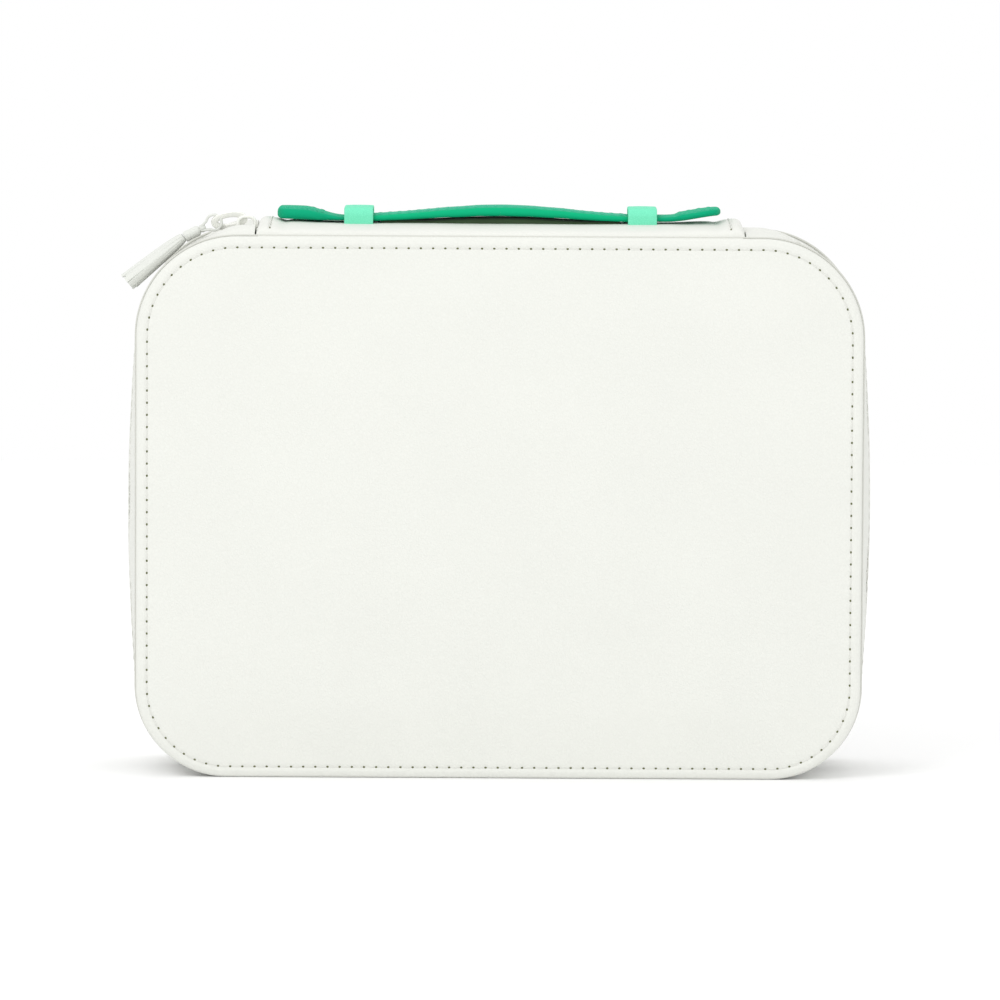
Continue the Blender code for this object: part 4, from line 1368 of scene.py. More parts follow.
@dataclass
class Strap:
    """The carrying strap: two halves that meet in the middle, and a stitched paddle at each end."""

    rise: float = 1.8
    thin: float = 2.0
    thick: float = 3.1
    rest_gap: float = 0.6
    least_rest: float = 0.3
    stitch_inset: float = 2.1
    stitch_pitch: float = 3.3
    groove: float = 0.22
    puff: float = 0.35
    left_tip_past: float = 1.1
    tip_corner: float = 7.6
    tip_round: float = 1.6
    flare_start: float = 9.2
    flare_length: float = 5.6

    def __post_init__(self) -> None:
        """Takes the strap's sizes from its CAD pieces."""
        low, high = cad_box("strap_grip")
        self.half_width = high[1]
        self.reach = cad_box("strap_flex_right")[1][0]
        self.base = cad_box("strap_flex_right")[0][2]
        self.grip_reach = high[0]
        self.loop_edge = cad_box("strap_loop_right")[0][0]

    def arch(self, x: np.ndarray) -> np.ndarray:
        """How far the strap has risen, from 0 at the loops to 1 in the middle: a third of it
        a parabola, and the rest half a cosine wave."""
        share = np.clip(1 - np.abs(x) / self.loop_edge, 0, 1)
        return 0.35 * (1 - (1 - share) ** 2) + 0.65 * (1 - np.cos(math.pi * share)) / 2

    def under(self, x: np.ndarray) -> np.ndarray:
        """Height of the strap's underside."""
        return self.base + self.rise * self.arch(x)

    def thickness(self, x: np.ndarray) -> np.ndarray:
        """The strap's thickness, least where the loops press on it."""
        return self.thin + (self.thick - self.thin) * self.arch(x)

    def section(self, half_width: float, thickness: float) -> np.ndarray:
        """Across and up: a half circle at each edge, a puffed face with two stitch grooves,
        and a flat back."""
        turn = np.linspace(-math.pi / 2, math.pi / 2, 9)
        half = thickness / 2
        right = packed(half_width - half + half * np.cos(turn), half * np.sin(turn))
        y = np.linspace(half_width - half, half - half_width, 47)[1:-1]
        face = half + self.puff * smooth((half_width - self.stitch_inset - np.abs(y)) / 3)
        face = face - self.groove * bell(np.abs(y) - (half_width - self.stitch_inset), 0.5)
        back = np.linspace(half - half_width, half_width - half, 7)[1:-1]
        left = right[::-1] * [-1, 1]
        return np.concatenate([right, packed(y, face), left,
                               packed(back, 0 * back - half)])

    def half(self, hand: Hand) -> None:
        """Makes half of the strap, from the middle to its loop, and its two lines of stitches.
        """
        x = hand.value * np.linspace(0, self.reach, 120)
        thickness = self.thickness(x)
        middle = self.under(x) + thickness / 2 + 0.06 * ripple(x, 0 * x, 9.0)
        path = packed(x, 0 * x, middle)
        section = self.section(self.half_width, self.thick)
        scale = packed(np.ones(len(x)), thickness / self.thick)
        skin = self.upright(carried(section, path, ALONG_Y, scale), path)
        skin.marks = {"edge": smooth((np.abs(skin.points[:, 1]) - self.half_width + 1.25) / 0.5)}
        nodes = [f"strap_flex_{hand.label}"] + (["strap_grip"] if hand is Hand.LEFT else [])
        name = f"strap_{hand.label}_half"
        piece = coated(name, skin, STRAP_LEATHER)
        self.bend(piece)
        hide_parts(*nodes)
        count = int(self.reach / self.stitch_pitch)
        for label, shape, finish, shift, rise in self.sewn(0.14, -0.1, -0.16):
            places, axes = self.on_face(hand, (np.arange(count) + shift) * self.stitch_pitch, rise)
            self.bend(coated(f"{name}_{label}", stamped(shape, places, axes), finish))

    def sewn(self, bow: float, thread_rise: float,
             hole_rise: float) -> tuple[tuple[str, Skin, Finish, float, float], ...]:
        """What a line of stitches on the strap is made of.

        Args:
            bow: How high the thread bows between its holes.
            thread_rise: Height of the thread over the face.
            hole_rise: Height of the holes over the face.

        Returns:
            For the thread and the holes: label, shape, finish, shift in stitches and rise.
        """
        thread = thread_stitch(self.stitch_pitch - STRAP_THREAD_GAP, 0.42, bow)
        return (("stitches", thread, GREEN_THREAD, 0.5, thread_rise),
                # The needle holes are dark green discs: painted shade in the holes.
                ("needle_holes", pebble_drop(0.75, 0.6, 0.3), GREEN_HOLE_SHADE, 0.0, hole_rise))

    @staticmethod
    def upright(skin: Skin, path: np.ndarray) -> Skin:
        """The same strap with its puffed face upwards: where the face came out below, each
        point's height over the path is reversed."""
        rows = len(path)
        points = skin.points.reshape(rows, -1, 3)
        over = points[..., 2] - path[:, None, 2]
        if over.max() < -over.min():
            points[..., 2] = path[:, None, 2] - over
            skin.points = points.reshape(-1, 3)
            skin.facing_out()
        return skin

    def on_face(self, hand: Hand, distance: np.ndarray,
                rise: float) -> tuple[np.ndarray, np.ndarray]:
        """Places of stitches on both edges of the face, from the middle outwards."""
        x = np.tile(hand.value * distance, 2)
        line = self.half_width - self.stitch_inset
        y = np.repeat([line, -line], len(distance))
        slope = (self.under(x + SLOPE_STEP) - self.under(x - SLOPE_STEP)) / (2 * SLOPE_STEP)
        along = unit(packed(1 + 0 * x, 0 * x, slope))
        across = np.broadcast_to([0.0, 1.0, 0.0], along.shape)
        out = np.cross(along, across)
        top = self.under(x) + self.thickness(x) + 0.06 * ripple(x, 0 * x, 9.0)
        places = packed(x, y, top)
        return places + rise * out, np.stack([along, across, out], axis=1)

    def bend(self, piece: bpy.types.Object) -> None:
        """Bakes the piece's place into its mesh."""
        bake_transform(piece)
        LOG.info("%s: blended between the spine and the grip", piece.name)

    def end(self, hand: Hand) -> None:
        """Makes one end: a tongue inside the loop that flares into a thick round paddle.

        Sections across X grow by the half width, which is the tongue's, a soft step and the
        paddle's, then a quarter circle at each corner of the tip. The right end curls up.
        """
        node = f"strap_end_{hand.label}"
        low, high = cad_box(node)
        inner, outer = sorted(abs(value) for value in (low[0], high[0]))
        outer += self.left_tip_past if hand is Hand.LEFT else 0.0
        corner, tip_round = self.tip_corner, self.tip_round
        way = np.concatenate([np.linspace(inner, outer - corner, 46)[:-1],
                              outer - corner + corner * np.sin(np.linspace(0, math.pi / 2, 34))])
        flare = smooth((way - inner - self.flare_start) / self.flare_length)
        half = self.half_width + (high[1] - self.half_width) * flare
        into = np.clip((way - (outer - corner)) / corner, 0, 1)
        half = half - corner * (1 - np.sqrt(np.clip(1 - into ** 2, 0, 1)))
        last = np.clip((way - (outer - tip_round)) / tip_round, 0, 1)
        from_loop = way - self.loop_edge - 10
        start, full, curl = (1.3, 3.7, 0.5) if hand is Hand.LEFT else (1.8, 2.3, 2.3)
        swell = smooth(from_loop / 14) if hand is Hand.LEFT else smooth((from_loop - 6) / 3)
        thick = start + (full - start) * swell
        thick = thick * (0.22 + 0.78 * np.sqrt(np.clip(1 - last ** 2, 0, 1)))
        curl = curl * smooth((from_loop - 3) / 19)
        middle = self.base + 0.1 + curl + (start + (full - start) * swell) / 2
        path = packed(hand.value * way, 0 * way, middle)
        section = self.section(self.half_width, self.thick)
        scale = packed(half / self.half_width, thick / self.thick)
        skin = self.upright(carried(section, path, ALONG_Y, scale), path)
        share = np.repeat(section[:, 0][None], len(path), axis=0)
        share = np.abs(share).reshape(-1) / self.half_width
        skin.marks = {"edge": smooth((share - 0.87) / 0.06)}
        body = f"strap_{hand.label}"
        add_piece(f"{node}_leather", skin, PADDLE_LEATHER, body, (node,))
        self.end_stitches(hand, way, half, middle + thick / 2, body, node)

    def end_stitches(self, hand: Hand, way: np.ndarray, half: np.ndarray, top: np.ndarray,
                     body: str, node: str) -> None:
        """Makes the stitches round a paddle: along one side, round the tip and back.

        The line is the outline drawn in by the stitch inset, at equal distances.
        """
        start = way[0] + 11.0
        inset = self.stitch_inset + 0.3
        fine = np.linspace(start, way[-1] - inset - 0.4, 300)
        wide = np.interp(fine, way, half) - inset
        wide = np.minimum(wide, np.interp(fine + inset * 0.55, way, half) - inset * 0.45)
        line = np.concatenate([packed(fine, wide),
                               packed(fine, -wide)[::-1]])
        run = np.concatenate([[0], np.cumsum(np.linalg.norm(np.diff(line, axis=0), axis=-1))])
        count = int(run[-1] / self.stitch_pitch)
        height = np.interp(line[:, 0], way, top)
        for label, shape, finish, shift, rise in self.sewn(0.16, -0.12, -0.1):
            at = (np.arange(count) + shift) * run[-1] / count
            x, y, z = (np.interp(at, run, values) for values in (line[:, 0], line[:, 1], height))
            ahead = np.stack([np.interp(at + 0.1, run, values) - np.interp(at - 0.1, run, values)
                              for values in (line[:, 0], line[:, 1], height)], axis=-1)
            ahead = unit(ahead * [hand.value, 1, 1])
            up = np.broadcast_to([0.0, 0.0, 1.0], ahead.shape)
            across = unit(np.cross(up, ahead))
            out = np.cross(ahead, across)
            places = packed(hand.value * x, y, z) + rise * out
            skin = stamped(shape, places, np.stack([ahead, across, out], axis=1))
            add_piece(f"{node}_{label}", skin, finish, body)

    def rest(self) -> None:
        """Makes the olive suede pad on the spine under the strap: a dark sheet of painted shade for
        the gap below the strap.

        Its top follows the strap's arch and leaves a narrow gap below it. Its sides round
        over by the square root of 1 less a high power of the way out.
        """
        x = np.linspace(-1, 1, 121) * (self.loop_edge - 2.5)
        share = np.sin(np.linspace(-1, 1, 41) * math.pi / 2)
        along, across = np.meshgrid(x, share, indexing="ij")
        rim = np.sqrt(np.clip(1 - np.abs(across) ** 10, 0, 1))
        foot = self.base - 1.5
        over_spine = np.maximum(self.under(along) - self.rest_gap - self.base, self.least_rest)
        top = foot + (self.base + over_spine - foot) * rim
        points = packed(along, across * (self.half_width - 1.0), top)
        add_piece("strap_rest_suede", flat_below(points), OLIVE_SHADE_SUEDE, "spine")

    def build(self) -> None:
        """Makes both halves, both ends, the loops and the olive suede pad of painted shade below.
        """
        # The olive pad under the strap is painted shade.
        self.rest()
        for hand in Hand:
            self.half(hand)
            self.end(hand)
            StrapLoop(hand).build()


# Slider, pull ring and tassel


def turn_about(axis: int, degrees: float) -> np.ndarray:
    """The matrix of a turn about X, Y or Z (0, 1 or 2), to be multiplied with columns."""
    angle = math.radians(degrees)
    first, second = (axis + 1) % 3, (axis + 2) % 3
    matrix = np.eye(3)
    matrix[first, first] = matrix[second, second] = math.cos(angle)
    matrix[second, first] = math.sin(angle)
    matrix[first, second] = -math.sin(angle)
    return matrix


def plate(outline: np.ndarray, low: float, high: float, edge: float, dome: float = 0.0) -> Skin:
    """A plate with rounded edges and a domed face, over an outline in X and Y.

    The rings are the outline drawn in along its own normals by one less the sine or cosine
    of a quarter turn, then shrunk towards its middle while the dome rises.

    Args:
        outline: Points by 2, anticlockwise.
        low: Level of its underside.
        high: Level of its face at the edge.
        edge: Edge radius.
        dome: How much the middle of the face stands over its edge.

    Returns:
        The closed surface.
    """
    ahead = unit(np.roll(outline, -1, axis=0) - np.roll(outline, 1, axis=0))
    out = packed(ahead[:, 1], -ahead[:, 0])
    turn = np.linspace(0, math.pi / 2, 6)
    inset = np.concatenate([edge * (1 - np.sin(turn)), edge * (1 - np.cos(turn))])
    level = np.concatenate([low + edge * (1 - np.cos(turn)), high - edge * (1 - np.sin(turn))])
    rings = outline[None] - inset[:, None, None] * out[None]
    middle = outline.mean(axis=0)
    share = np.linspace(1, 0.06, 7)[1:]
    inner = middle + (rings[-1:] - middle) * share[:, None, None]
    rings = np.concatenate([rings, inner])
    level = np.concatenate([level, high + dome * (1 - share ** 2)])
    height = np.broadcast_to(level[:, None, None], (*rings.shape[:2], 1))
    return lattice(np.concatenate([rings, height], axis=-1)).facing_out()


@dataclass
class Slider:
    """The zip slider: a spade-shaped enamel plate with an arched bridge, and its foot below."""

    neck: float = 1.9
    bridge_width: float = 3.0
    bar: float = 1.25
    bridge_drop: float = 0.9

    def __post_init__(self) -> None:
        """Takes the sizes from the CAD slider."""
        self.low, self.high = cad_box("zipper_slider")
        self.middle = (self.low + self.high) / 2
        self.half = (self.high[0] - self.low[0]) / 2
        self.wide = self.high[1]

    def spade(self) -> np.ndarray:
        """Outline: the half width steps softly from neck to shoulder, and both ends are
        rounded by the fourth root of 1 less the sixth power of the way out."""
        way = np.sin(np.linspace(math.pi / 2, -math.pi / 2, 40))
        wide = self.neck + (self.wide - self.neck) * smooth((way + 0.15) / 0.7)
        wide = wide * np.clip(1 - way ** 6, 0, 1) ** 0.25
        upper = packed(way * self.half, wide)
        return np.concatenate([upper, upper[-2:0:-1] * [1, -1]])

    def bridge(self) -> Skin:
        """The bridge: a rounded bar over a path that is half of an ellipse raised to a
        power, which makes its shoulders square."""
        turn = np.linspace(0, math.pi, 40)
        reach = self.half - self.bar / 2 - 0.15
        rise = self.high[2] - self.low[2] - 0.4 - self.bridge_drop - self.bar / 2
        x = self.middle[0] + reach * np.sign(np.cos(turn)) * np.abs(np.cos(turn)) ** 0.8
        z = self.low[2] + 0.4 + rise * np.sin(turn) ** 0.6
        section = rounded_section(self.bridge_width, self.bar, 0.55, 4)
        path = packed(x, 0 * x, z)
        return carried(section, path, ALONG_Y)

    def build(self) -> None:
        """Makes the slider and its foot."""
        wing = plate(self.spade(), 0.0, 0.85, 0.34, 0.3)
        wing.points = wing.points + [self.middle[0], 0.0, self.low[2]]
        add_piece("slider_body", joined([wing, self.bridge()]), WHITE_ENAMEL, "slider",
                  ("zipper_slider",), 60)
        low, high = cad_box("slider_foot")
        foot = plate(self.spade() * [1, 0.98], 0.0, high[2] - low[2], 0.3)
        foot.points = foot.points + [self.middle[0], 0.0, low[2]]
        foot.points[:, 1] = np.clip(foot.points[:, 1], low[1], high[1])
        add_piece("slider_foot_plate", foot, WHITE_ENAMEL, "slider", ("slider_foot",), 60)


@dataclass
class PullRing:
    """The flat oval ring that hangs in the slider's bridge and leans over the corner."""

    pivot: tuple[float, float, float] = (-88.0, 0.0, 188.5)
    length: float = 12.6
    width: float = 7.0
    band: float = 2.3
    thickness: float = 1.2
    tilt: float = -66.0
    slope: float = 9.0
    lift: float = 0.8

    def build(self) -> None:
        """Makes the ring: a flat rounded section carried round an ellipse.

        A point is the middle ellipse, plus the section's width along the ellipse's way out
        and its height along the ring's own axis. The whole is then tilted and sloped.
        """
        turn = np.arange(96) * TURN / 96
        half_long = (self.length - self.band) / 2
        half_wide = (self.width - self.band) / 2
        middle = packed(half_long * np.cos(turn), half_wide * np.sin(turn))
        out = unit(packed(half_wide * np.cos(turn), half_long * np.sin(turn)))
        section = rounded_section(self.band, self.thickness, 0.55, 5)
        flat = middle[:, None] + section[None, :, :1] * out[:, None]
        height = np.broadcast_to(section[None, :, 1:], (*flat.shape[:2], 1))
        points = np.concatenate([flat, height], axis=-1)
        turned_by = turn_about(1, -self.slope) @ turn_about(0, self.tilt)
        centre = np.array(self.pivot) + turn_about(1, -self.slope) @ np.array([-half_long, 0, 0])
        points = points @ turned_by.T + centre + [0, 0, self.lift]
        skin = lattice(points, round_along=True).facing_out()
        add_piece("pull_ring_enamel", skin, WHITE_ENAMEL, "ring", ("pull_ring",), 60)


@dataclass
class Tassel:
    """The leather tassel: a link strip through the ring, a sewn cap and sleeve, and strands."""

    anchor: tuple[float, float, float] = (-98.36, 0.0, 187.75)
    hole: float = 2.2
    link_wall: float = 0.9
    link_width: float = 2.6
    link_length: float = 6.5
    slope: float = 27.0
    fall: float = 39.5
    fringe_length: float = 24.6
    outer_strands: int = 13
    inner_strands: int = 6
    strand_width: float = 2.1
    strand_thickness: float = 0.75
    end_half_width: float = 5.4
    end_half_depth: float = 3.3
    start_half_width: float = 1.5
    start_half_depth: float = 1.35
    under_share: float = 0.75
    seed: int = 7

    def __post_init__(self) -> None:
        """Works out the tassel's own directions."""
        angle = math.radians(self.slope)
        self.ahead = np.array([-math.cos(angle), 0.0, -math.sin(angle)])
        self.side = ALONG_Y
        self.over = np.cross(self.ahead, self.side) * -1

    def link(self) -> Skin:
        """The link: a strip bent into a drop-shaped loop.

        Its path is most of a circle round the ring's band, whose two ends run together
        towards the sleeve.
        """
        radius = self.hole + self.link_wall / 2
        turn = np.radians(np.linspace(-138, 138, 45))
        tip = self.link_length - radius
        arc = packed(-radius * np.cos(turn), radius * np.sin(turn))
        tail = np.linspace(0, 1, 9)[1:, None]
        end = np.array([tip + 1.2, 0.45])
        after = arc[-1] + (end - arc[-1]) * tail
        before = (arc[0] + (end * [1, -1] - arc[0]) * tail)[::-1]
        flat = np.concatenate([before, arc, after])
        flat[:, 1] = flat[:, 1] * np.where(flat[:, 0] > radius * 0.7, 0.96, 1)
        path = np.array(self.anchor) + flat[:, :1] * self.ahead + flat[:, 1:] * self.over
        section = rounded_section(self.link_width, self.link_wall, 0.3, 3)
        return carried(section, path, self.side)

    def sleeve(self) -> Skin:
        """Cap and sleeve: turned, with a bead, a waist, and a sleeve that widens a little."""
        start = np.array(self.anchor) + self.ahead * (self.link_length - self.hole - 1.1)
        place = np.array([0, 0.12, 0.5, 1.1, 1.7, 2.05, 2.2, 2.35, 2.7, 3.2, 5.6, 7.7, 7.9, 8.0,
                          7.6])
        radius = np.array([0.3, 0.95, 1.32, 1.45, 1.34, 1.12, 1.06, 1.3, 1.72, 1.84, 1.8, 1.9,
                           1.84, 1.5, 0.6])
        return turned(radius, place, start, self.ahead, self.side, 1.0, 40)

    def strands(self) -> Skin:
        """The fringe: flat strips in two rings that start in the sleeve and spread as they fall.

        A strip's middle is the fringe's own line, which bends from the sleeve's slope to the
        fall, plus a way out that grows by the square root of the way along. Lengths and sways
        are drawn at random from a fixed seed.
        """
        draw = np.random.default_rng(self.seed)
        way = np.linspace(0, 1, 22)
        slope = np.radians(self.slope + (self.fall - self.slope) * smooth(way * 9 + 0.3))
        run = np.gradient(way) * self.fringe_length
        line = packed(-np.cumsum(np.cos(slope) * run), 0 * way,
                      -np.cumsum(np.sin(slope) * run))
        start = np.array(self.anchor) + self.ahead * (self.link_length - self.hole + 6.2)
        ahead = unit(np.gradient(line, axis=0))
        over = np.cross(self.side, ahead)
        section = rounded_section(self.strand_width, self.strand_thickness, 0.2, 2)
        made = []
        for count, share in ((self.outer_strands, 1.0), (self.inner_strands, 0.52)):
            for number in range(count):
                angle = TURN * (number + draw.uniform(-0.22, 0.22)) / count
                length = draw.uniform(0.94, 1.03)
                sway = draw.uniform(-0.5, 0.5, 2)
                spread = way ** 0.5 * share
                wide = (self.start_half_width * share
                        + (self.end_half_width - self.start_half_width) * spread)
                deep = (self.start_half_depth * share
                        + (self.end_half_depth - self.start_half_depth) * spread)
                off_side = math.cos(angle) * wide + sway[0] * way ** 2
                off_over = math.sin(angle) * deep + sway[1] * 0.5 * way ** 2
                off_over = np.where(off_over < 0, off_over * self.under_share, off_over)
                stretch = np.interp(way * length, way, np.arange(len(way)))
                places = np.stack([np.interp(stretch, np.arange(len(way)), line[:, axis])
                                   for axis in range(3)], axis=-1)
                path = start + places + off_side[:, None] * self.side + off_over[:, None] * over
                face = unit(np.array([-math.sin(angle) * self.end_half_width,
                                      math.cos(angle) * self.end_half_depth]))
                side = face[0] * self.side + face[1] * over
                made.append(carried(section, path, side, 0.82 + 0.18 * smooth(way * 3)))
        return joined(made)

    def build(self) -> None:
        """Makes the three pieces."""
        add_piece("tassel_link_strip", self.link(), SHADED_TASSEL_LEATHER, "tassel",
                  ("tassel_link",))
        add_piece("tassel_sleeve", self.sleeve(), SHADED_TASSEL_LEATHER, "tassel",
                  ("tassel_collar",))
        add_piece("tassel_strands", self.strands(), SHADED_TASSEL_LEATHER, "tassel",
                  ("tassel_fringe",))


# The fitted inside


@dataclass
class RingRoll:
    """One full suede roll. Rings are pushed into the slits between the rolls."""

    number: int
    voxel: float = 1.9
    room: float = 0.15
    end_room: float = 0.5
    end_power: int = 14
    wave_depth: float = 0.02
    waves: int = 3

    def form(self) -> Skin:
        """The roll's form: circles whose radius falls at both ends by a square root, and
        which swell and shrink a little along the length in three slow waves."""
        low, high = cad_box("ring_roll_1")
        length = high[0] - low[0]
        radius = (high[2] - low[2]) / 2 - self.room
        way = (1 - np.cos(np.linspace(0, math.pi, 60))) / 2
        ends = np.sqrt(np.clip(1 - np.abs(2 * way - 1) ** self.end_power, 0, 1))
        waves = 1 - self.wave_depth * np.cos(way * TURN * self.waves)
        radii = radius * np.maximum(ends, NEAR_SHUT) * waves
        start = np.array([self.end_room - length / 2, 0, 0])
        return turned(radii, way * (length - 2 * self.end_room), start, ALONG_X, ALONG_Y, 1.0, 28)

    def rounded(self) -> bpy.types.Mesh:
        """The roll about its own middle: its form, remeshed evenly and subdivided once.

        No cloth simulation shapes it. The fullness is the formula's own.

        Returns:
            The finished mesh.
        """
        piece = make_mesh("roll_form", self.form())
        remesh = piece.modifiers.new("remesh", "REMESH")
        remesh.mode, remesh.voxel_size = "VOXEL", self.voxel * MM
        piece.data = self._baked(piece)
        piece.modifiers.clear()
        finer = piece.modifiers.new("finer", "SUBSURF")
        finer.levels = finer.render_levels = 1
        mesh = self._baked(piece)
        bpy.data.objects.remove(piece)
        return mesh

    @staticmethod
    def _baked(piece: bpy.types.Object) -> bpy.types.Mesh:
        """The piece's mesh with its modifiers applied."""
        seen = piece.evaluated_get(bpy.context.evaluated_depsgraph_get())
        return bpy.data.meshes.new_from_object(seen)

    @staticmethod
    def _points(mesh: bpy.types.Mesh) -> np.ndarray:
        """A mesh's points."""
        points = np.empty(len(mesh.vertices) * 3)
        mesh.vertices.foreach_get("co", points)
        return points.reshape(-1, 3)

    def build(self, mesh: bpy.types.Mesh) -> None:
        """Makes the roll from a copy of the finished mesh, moved to its place."""
        node = f"ring_roll_{self.number}"
        low, high = cad_box(node)
        copy = mesh.copy()
        points = self._points(mesh) + (low + high) / 2 * MM
        copy.vertices.foreach_set("co", points.astype(np.float32).ravel())
        copy.polygons.foreach_set("use_smooth", np.ones(len(copy.polygons), dtype=bool))
        copy.materials.clear()
        copy.materials.append(PALE_SUEDE.material)
        piece = bpy.data.objects.new(f"{node}_suede", copy)
        bpy.context.scene.collection.objects.link(piece)
        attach(piece, "back")
        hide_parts(node)
        LOG.info("%s: padded, on back", piece.name)


@dataclass
class LidPocket:
    """The gathered suede pocket on the lid's lining, with an elastic hem."""

    pleats: int = 21
    pleat_depth: float = 0.8
    thickness: float = 0.7
    hem_width: float = 4.2
    sag: float = 1.6

    def sheet(self) -> np.ndarray:
        """The sheet's points over a grid: across the lid and up.

        It starts at the lining on three sides and bellies out by the product of two soft
        bumps. Pleats are a sine across whose depth grows towards the hem. The hem sags.
        """
        low, high = cad_box("lid_pocket")
        across, up = np.meshgrid(np.linspace(-1, 1, 337), np.linspace(0, 1, 61), indexing="ij")
        room = high[1] - low[1] - self.thickness - self.pleat_depth - 0.9
        rise = np.sin(np.minimum(up * 1.25, 1) * math.pi / 2) ** 0.6
        belly = (1 - np.abs(across) ** 8) ** 0.5 * rise
        wander = 0.8 * np.sin(up * 2 + across * 9)
        turn = across * self.pleats * math.pi + wander
        pleat = self.pleat_depth * (0.25 + 0.75 * up) * np.sin(turn)
        y = low[1] + 0.7 + room * belly + (pleat + self.pleat_depth) * belly
        z = low[2] + (high[2] - low[2] - 2) * up - self.sag * up * (1 - across ** 2)
        return packed(across * (high[0] - 0.6), y, z)

    def build(self) -> None:
        points = self.sheet()
        piece = make_mesh("lid_pocket_suede", lattice(points, round_across=False, capped=False))
        wall = piece.modifiers.new("wall", "SOLIDIFY")
        wall.thickness, wall.offset = self.thickness * MM, 0.0
        piece.data.materials.append(MINT_SUEDE.material)
        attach(piece, "lid")
        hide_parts("lid_pocket")
        section = rounded_section(1.7, self.hem_width, 0.8, 4)
        hem = add_piece("lid_pocket_hem", carried(section, points[:, -1], ALONG_Y),
                        PALE_SUEDE, "lid")


@dataclass
class Inside:
    """Everything inside: linings, the tray with its rolls, the necklace tabs and the pocket."""

    tab_corner: float = 4.4
    tab_stitch_inset: float = 1.6
    tab_pitch: float = 2.6
    rolls: int = 5
    tabs: int = 3

    def tab(self, number: int) -> None:
        """Makes one necklace tab: a leather plate with rounded edges, stitched round, which
        stands upright, and the domed cap of its snap."""
        node = f"necklace_tab_{number}"
        low, high = cad_box(node)
        size = high - low
        centre = (low + high) / 2
        outline = rounded_section(size[0], size[2], self.tab_corner, 8)
        upright = np.array([[1.0, 0, 0], [0, 0, 1.0], [0, 1.0, 0]])
        skin = plate(outline, 0.0, size[1], 0.5, 0.12)
        skin.points = skin.points @ upright + [centre[0], low[1], centre[2]]
        body = f"tab_{number}"
        add_piece(f"{node}_leather", skin.facing_out(), MINT_LEATHER, body, (node,))
        inner = Outline(size[0] / 2 - self.tab_stitch_inset, low[2] + self.tab_stitch_inset,
                        high[2] - self.tab_stitch_inset, self.tab_corner - self.tab_stitch_inset,
                        self.tab_corner - self.tab_stitch_inset)
        count = round(inner.stops[-1] / self.tab_pitch)
        distance = (np.arange(count) + 0.5) * inner.stops[-1] / count
        flat, out = inner.walk(distance, 0 * distance)
        zero = 0 * distance
        places = packed(flat[:, 0] + centre[0], zero + high[1] + 0.04, flat[:, 1])
        axes = np.stack([packed(-out[:, 1], zero, out[:, 0]),
                         packed(-out[:, 0], zero, -out[:, 1]),
                         packed(zero, zero + 1, zero)], axis=1)
        thread = stamped(thread_stitch(self.tab_pitch - STRAP_THREAD_GAP, 0.4, 0.1), places, axes)
        add_piece(f"{node}_stitches", thread, WHITE_THREAD, body)
        stud = sum(cad_box(f"snap_stud_{number}")) / 2
        radii = np.array([3.4, 3.7, 3.75, 3.5, 2.6, 1.5, 0.3])
        rise = np.array([-0.3, 0.0, 0.3, 0.6, 0.95, 1.12, 1.18])
        cap = turned(radii, rise, np.array([stud[0], high[1], stud[2]]), ALONG_Y,
                     ALONG_X, 1.0, 36)
        add_piece(f"{node}_snap_cap", cap, STEEL, body)

    def build(self) -> None:
        """Dresses the pieces that keep their shape and makes the soft ones."""
        for side in Side:
            dress(f"{side.label}_board", GREY_BOARD)
            dress(f"{side.label}_lining", PALE_SUEDE)
        dress("spine_board", GREY_BOARD)
        dress("spine_lining", PALE_SUEDE)
        for node in ("tray_rim", "long_divider", "upper_divider_1", "upper_divider_2",
                     "lower_divider", "necklace_pad"):
            dress(node, MINT_SUEDE)
        for number in range(1, self.tabs + 1):
            dress(f"snap_stud_{number}", STEEL)
            self.tab(number)
        mesh = RingRoll(1).rounded()
        for number in range(1, self.rolls + 1):
            RingRoll(number).build(mesh)
        LidPocket().build()


# Studio


@dataclass(frozen=True)
class Lamp:
    """A square soft light: its name, its place, its side and its power in watts."""

    name: str
    place: tuple[float, float, float]
    size: float
    power: float


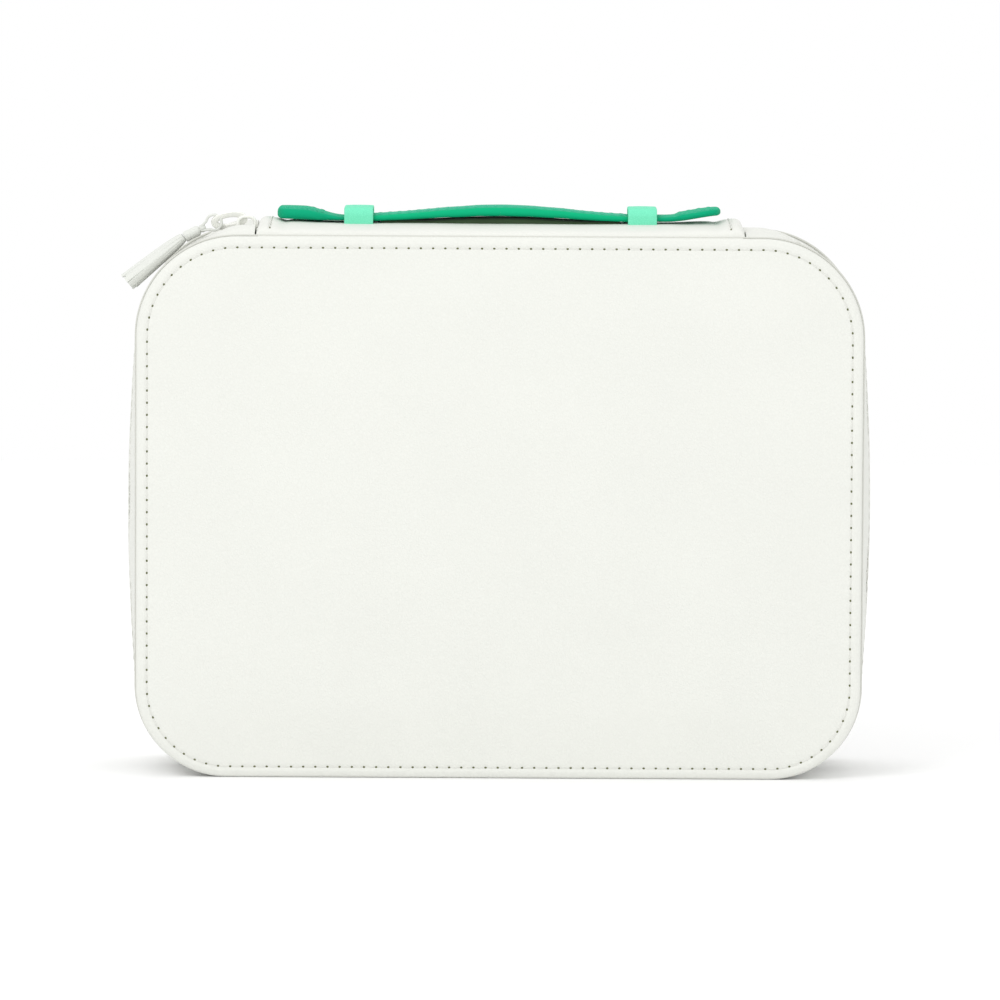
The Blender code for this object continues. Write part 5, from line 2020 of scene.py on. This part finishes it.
@dataclass
class Studio:
    """A pale floor, soft light all round and the camera."""

    look_at: tuple[float, float, float] = (0.3, -31.0, 95.4)
    distance: float = 2500.0
    elevation: float = 5.0
    roll: float = 0.3
    view_width: float = 340.0
    sensor: float = 36.0
    floor_radius: float = 1300.0
    middle: tuple[float, float, float] = (0.0, 0.0, 95.0)
    lamps: tuple[Lamp, ...] = (Lamp("key_light", (-900, -1300, 1500), 900, 9.0),
                               Lamp("fill_light", (1300, -1100, 700), 1100, 2.0),
                               Lamp("top_light", (0, 500, 1700), 1200, 3.0),
                               Lamp("front_light", (0, -1900, 160), 1500, 4.5))

    def build(self) -> None:
        """Makes the floor, the lights and the camera."""
        scene = bpy.context.scene
        floor = coated("studio_floor", self.floor(), FLOOR_PAINT)
        world = bpy.data.worlds.new("studio_light")
        world.use_nodes = True
        world.node_tree.nodes["Background"].inputs[0].default_value = (1.0, 1.0, 1.0, 1.0)
        world.node_tree.nodes["Background"].inputs[1].default_value = 1.0
        scene.world = world
        for lamp in self.lamps:
            self.light(lamp)
        scene.view_settings.view_transform = "Standard"
        self.camera()

    def floor(self) -> Skin:
        """A wide thin disc whose top is at the case's foot."""
        angle = np.arange(96) * TURN / 96
        ring = packed(np.cos(angle), np.sin(angle)) * self.floor_radius
        levels = np.array([-20.0, 0.0])
        points = np.empty((2, 96, 3))
        points[..., :2] = ring
        points[..., 2] = levels[:, None]
        return lattice(points).facing_out()

    def light(self, lamp: Lamp) -> None:
        """Adds a lamp that faces the middle of the case."""
        data = bpy.data.lights.new(lamp.name, "AREA")
        data.size = lamp.size * MM
        data.energy = lamp.power
        thing = bpy.data.objects.new(lamp.name, data)
        bpy.context.scene.collection.objects.link(thing)
        self.aim(thing, np.array(lamp.place, dtype=float), np.array(self.middle), 0.0)

    @staticmethod
    def aim(thing: bpy.types.Object, place: np.ndarray, target: np.ndarray, roll: float) -> None:
        """Puts a lamp or camera at a place, with its -Z towards the target."""
        back = unit(place - target)
        right = unit(np.cross([0.0, 0.0, 1.0], back))
        up = np.cross(back, right)
        angle = math.radians(roll)
        turned_right = right * math.cos(angle) + up * math.sin(angle)
        turned_up = up * math.cos(angle) - right * math.sin(angle)
        matrix = np.eye(4)
        matrix[:3, 0], matrix[:3, 1], matrix[:3, 2] = turned_right, turned_up, back
        matrix[:3, 3] = place * MM
        thing.matrix_world = matrix.T.tolist()

    def camera(self) -> None:
        """Adds the camera in front of the case and a little above it."""
        angle = math.radians(self.elevation)
        target = np.array(self.look_at)
        place = target + self.distance * np.array([0.0, -math.cos(angle), math.sin(angle)])
        data = bpy.data.cameras.new("camera")
        data.sensor_width = self.sensor
        data.lens = self.sensor * self.distance / self.view_width
        data.clip_end = 200.0
        camera = bpy.data.objects.new("camera", data)
        bpy.context.scene.collection.objects.link(camera)
        self.aim(camera, place, target, self.roll)
        bpy.context.scene.camera = camera


def main() -> None:
    """Builds the case piece by piece."""
    logging.basicConfig(level=logging.INFO, format="%(message)s")
    Studio().build()
    for side in Side:
        Panel(side).build()
    Wall().build()
    Spine().build()
    Strap().build()
    Slider().build()
    PullRing().build()
    Tassel().build()
    Inside().build()


if __name__ == "__main__":
    main()
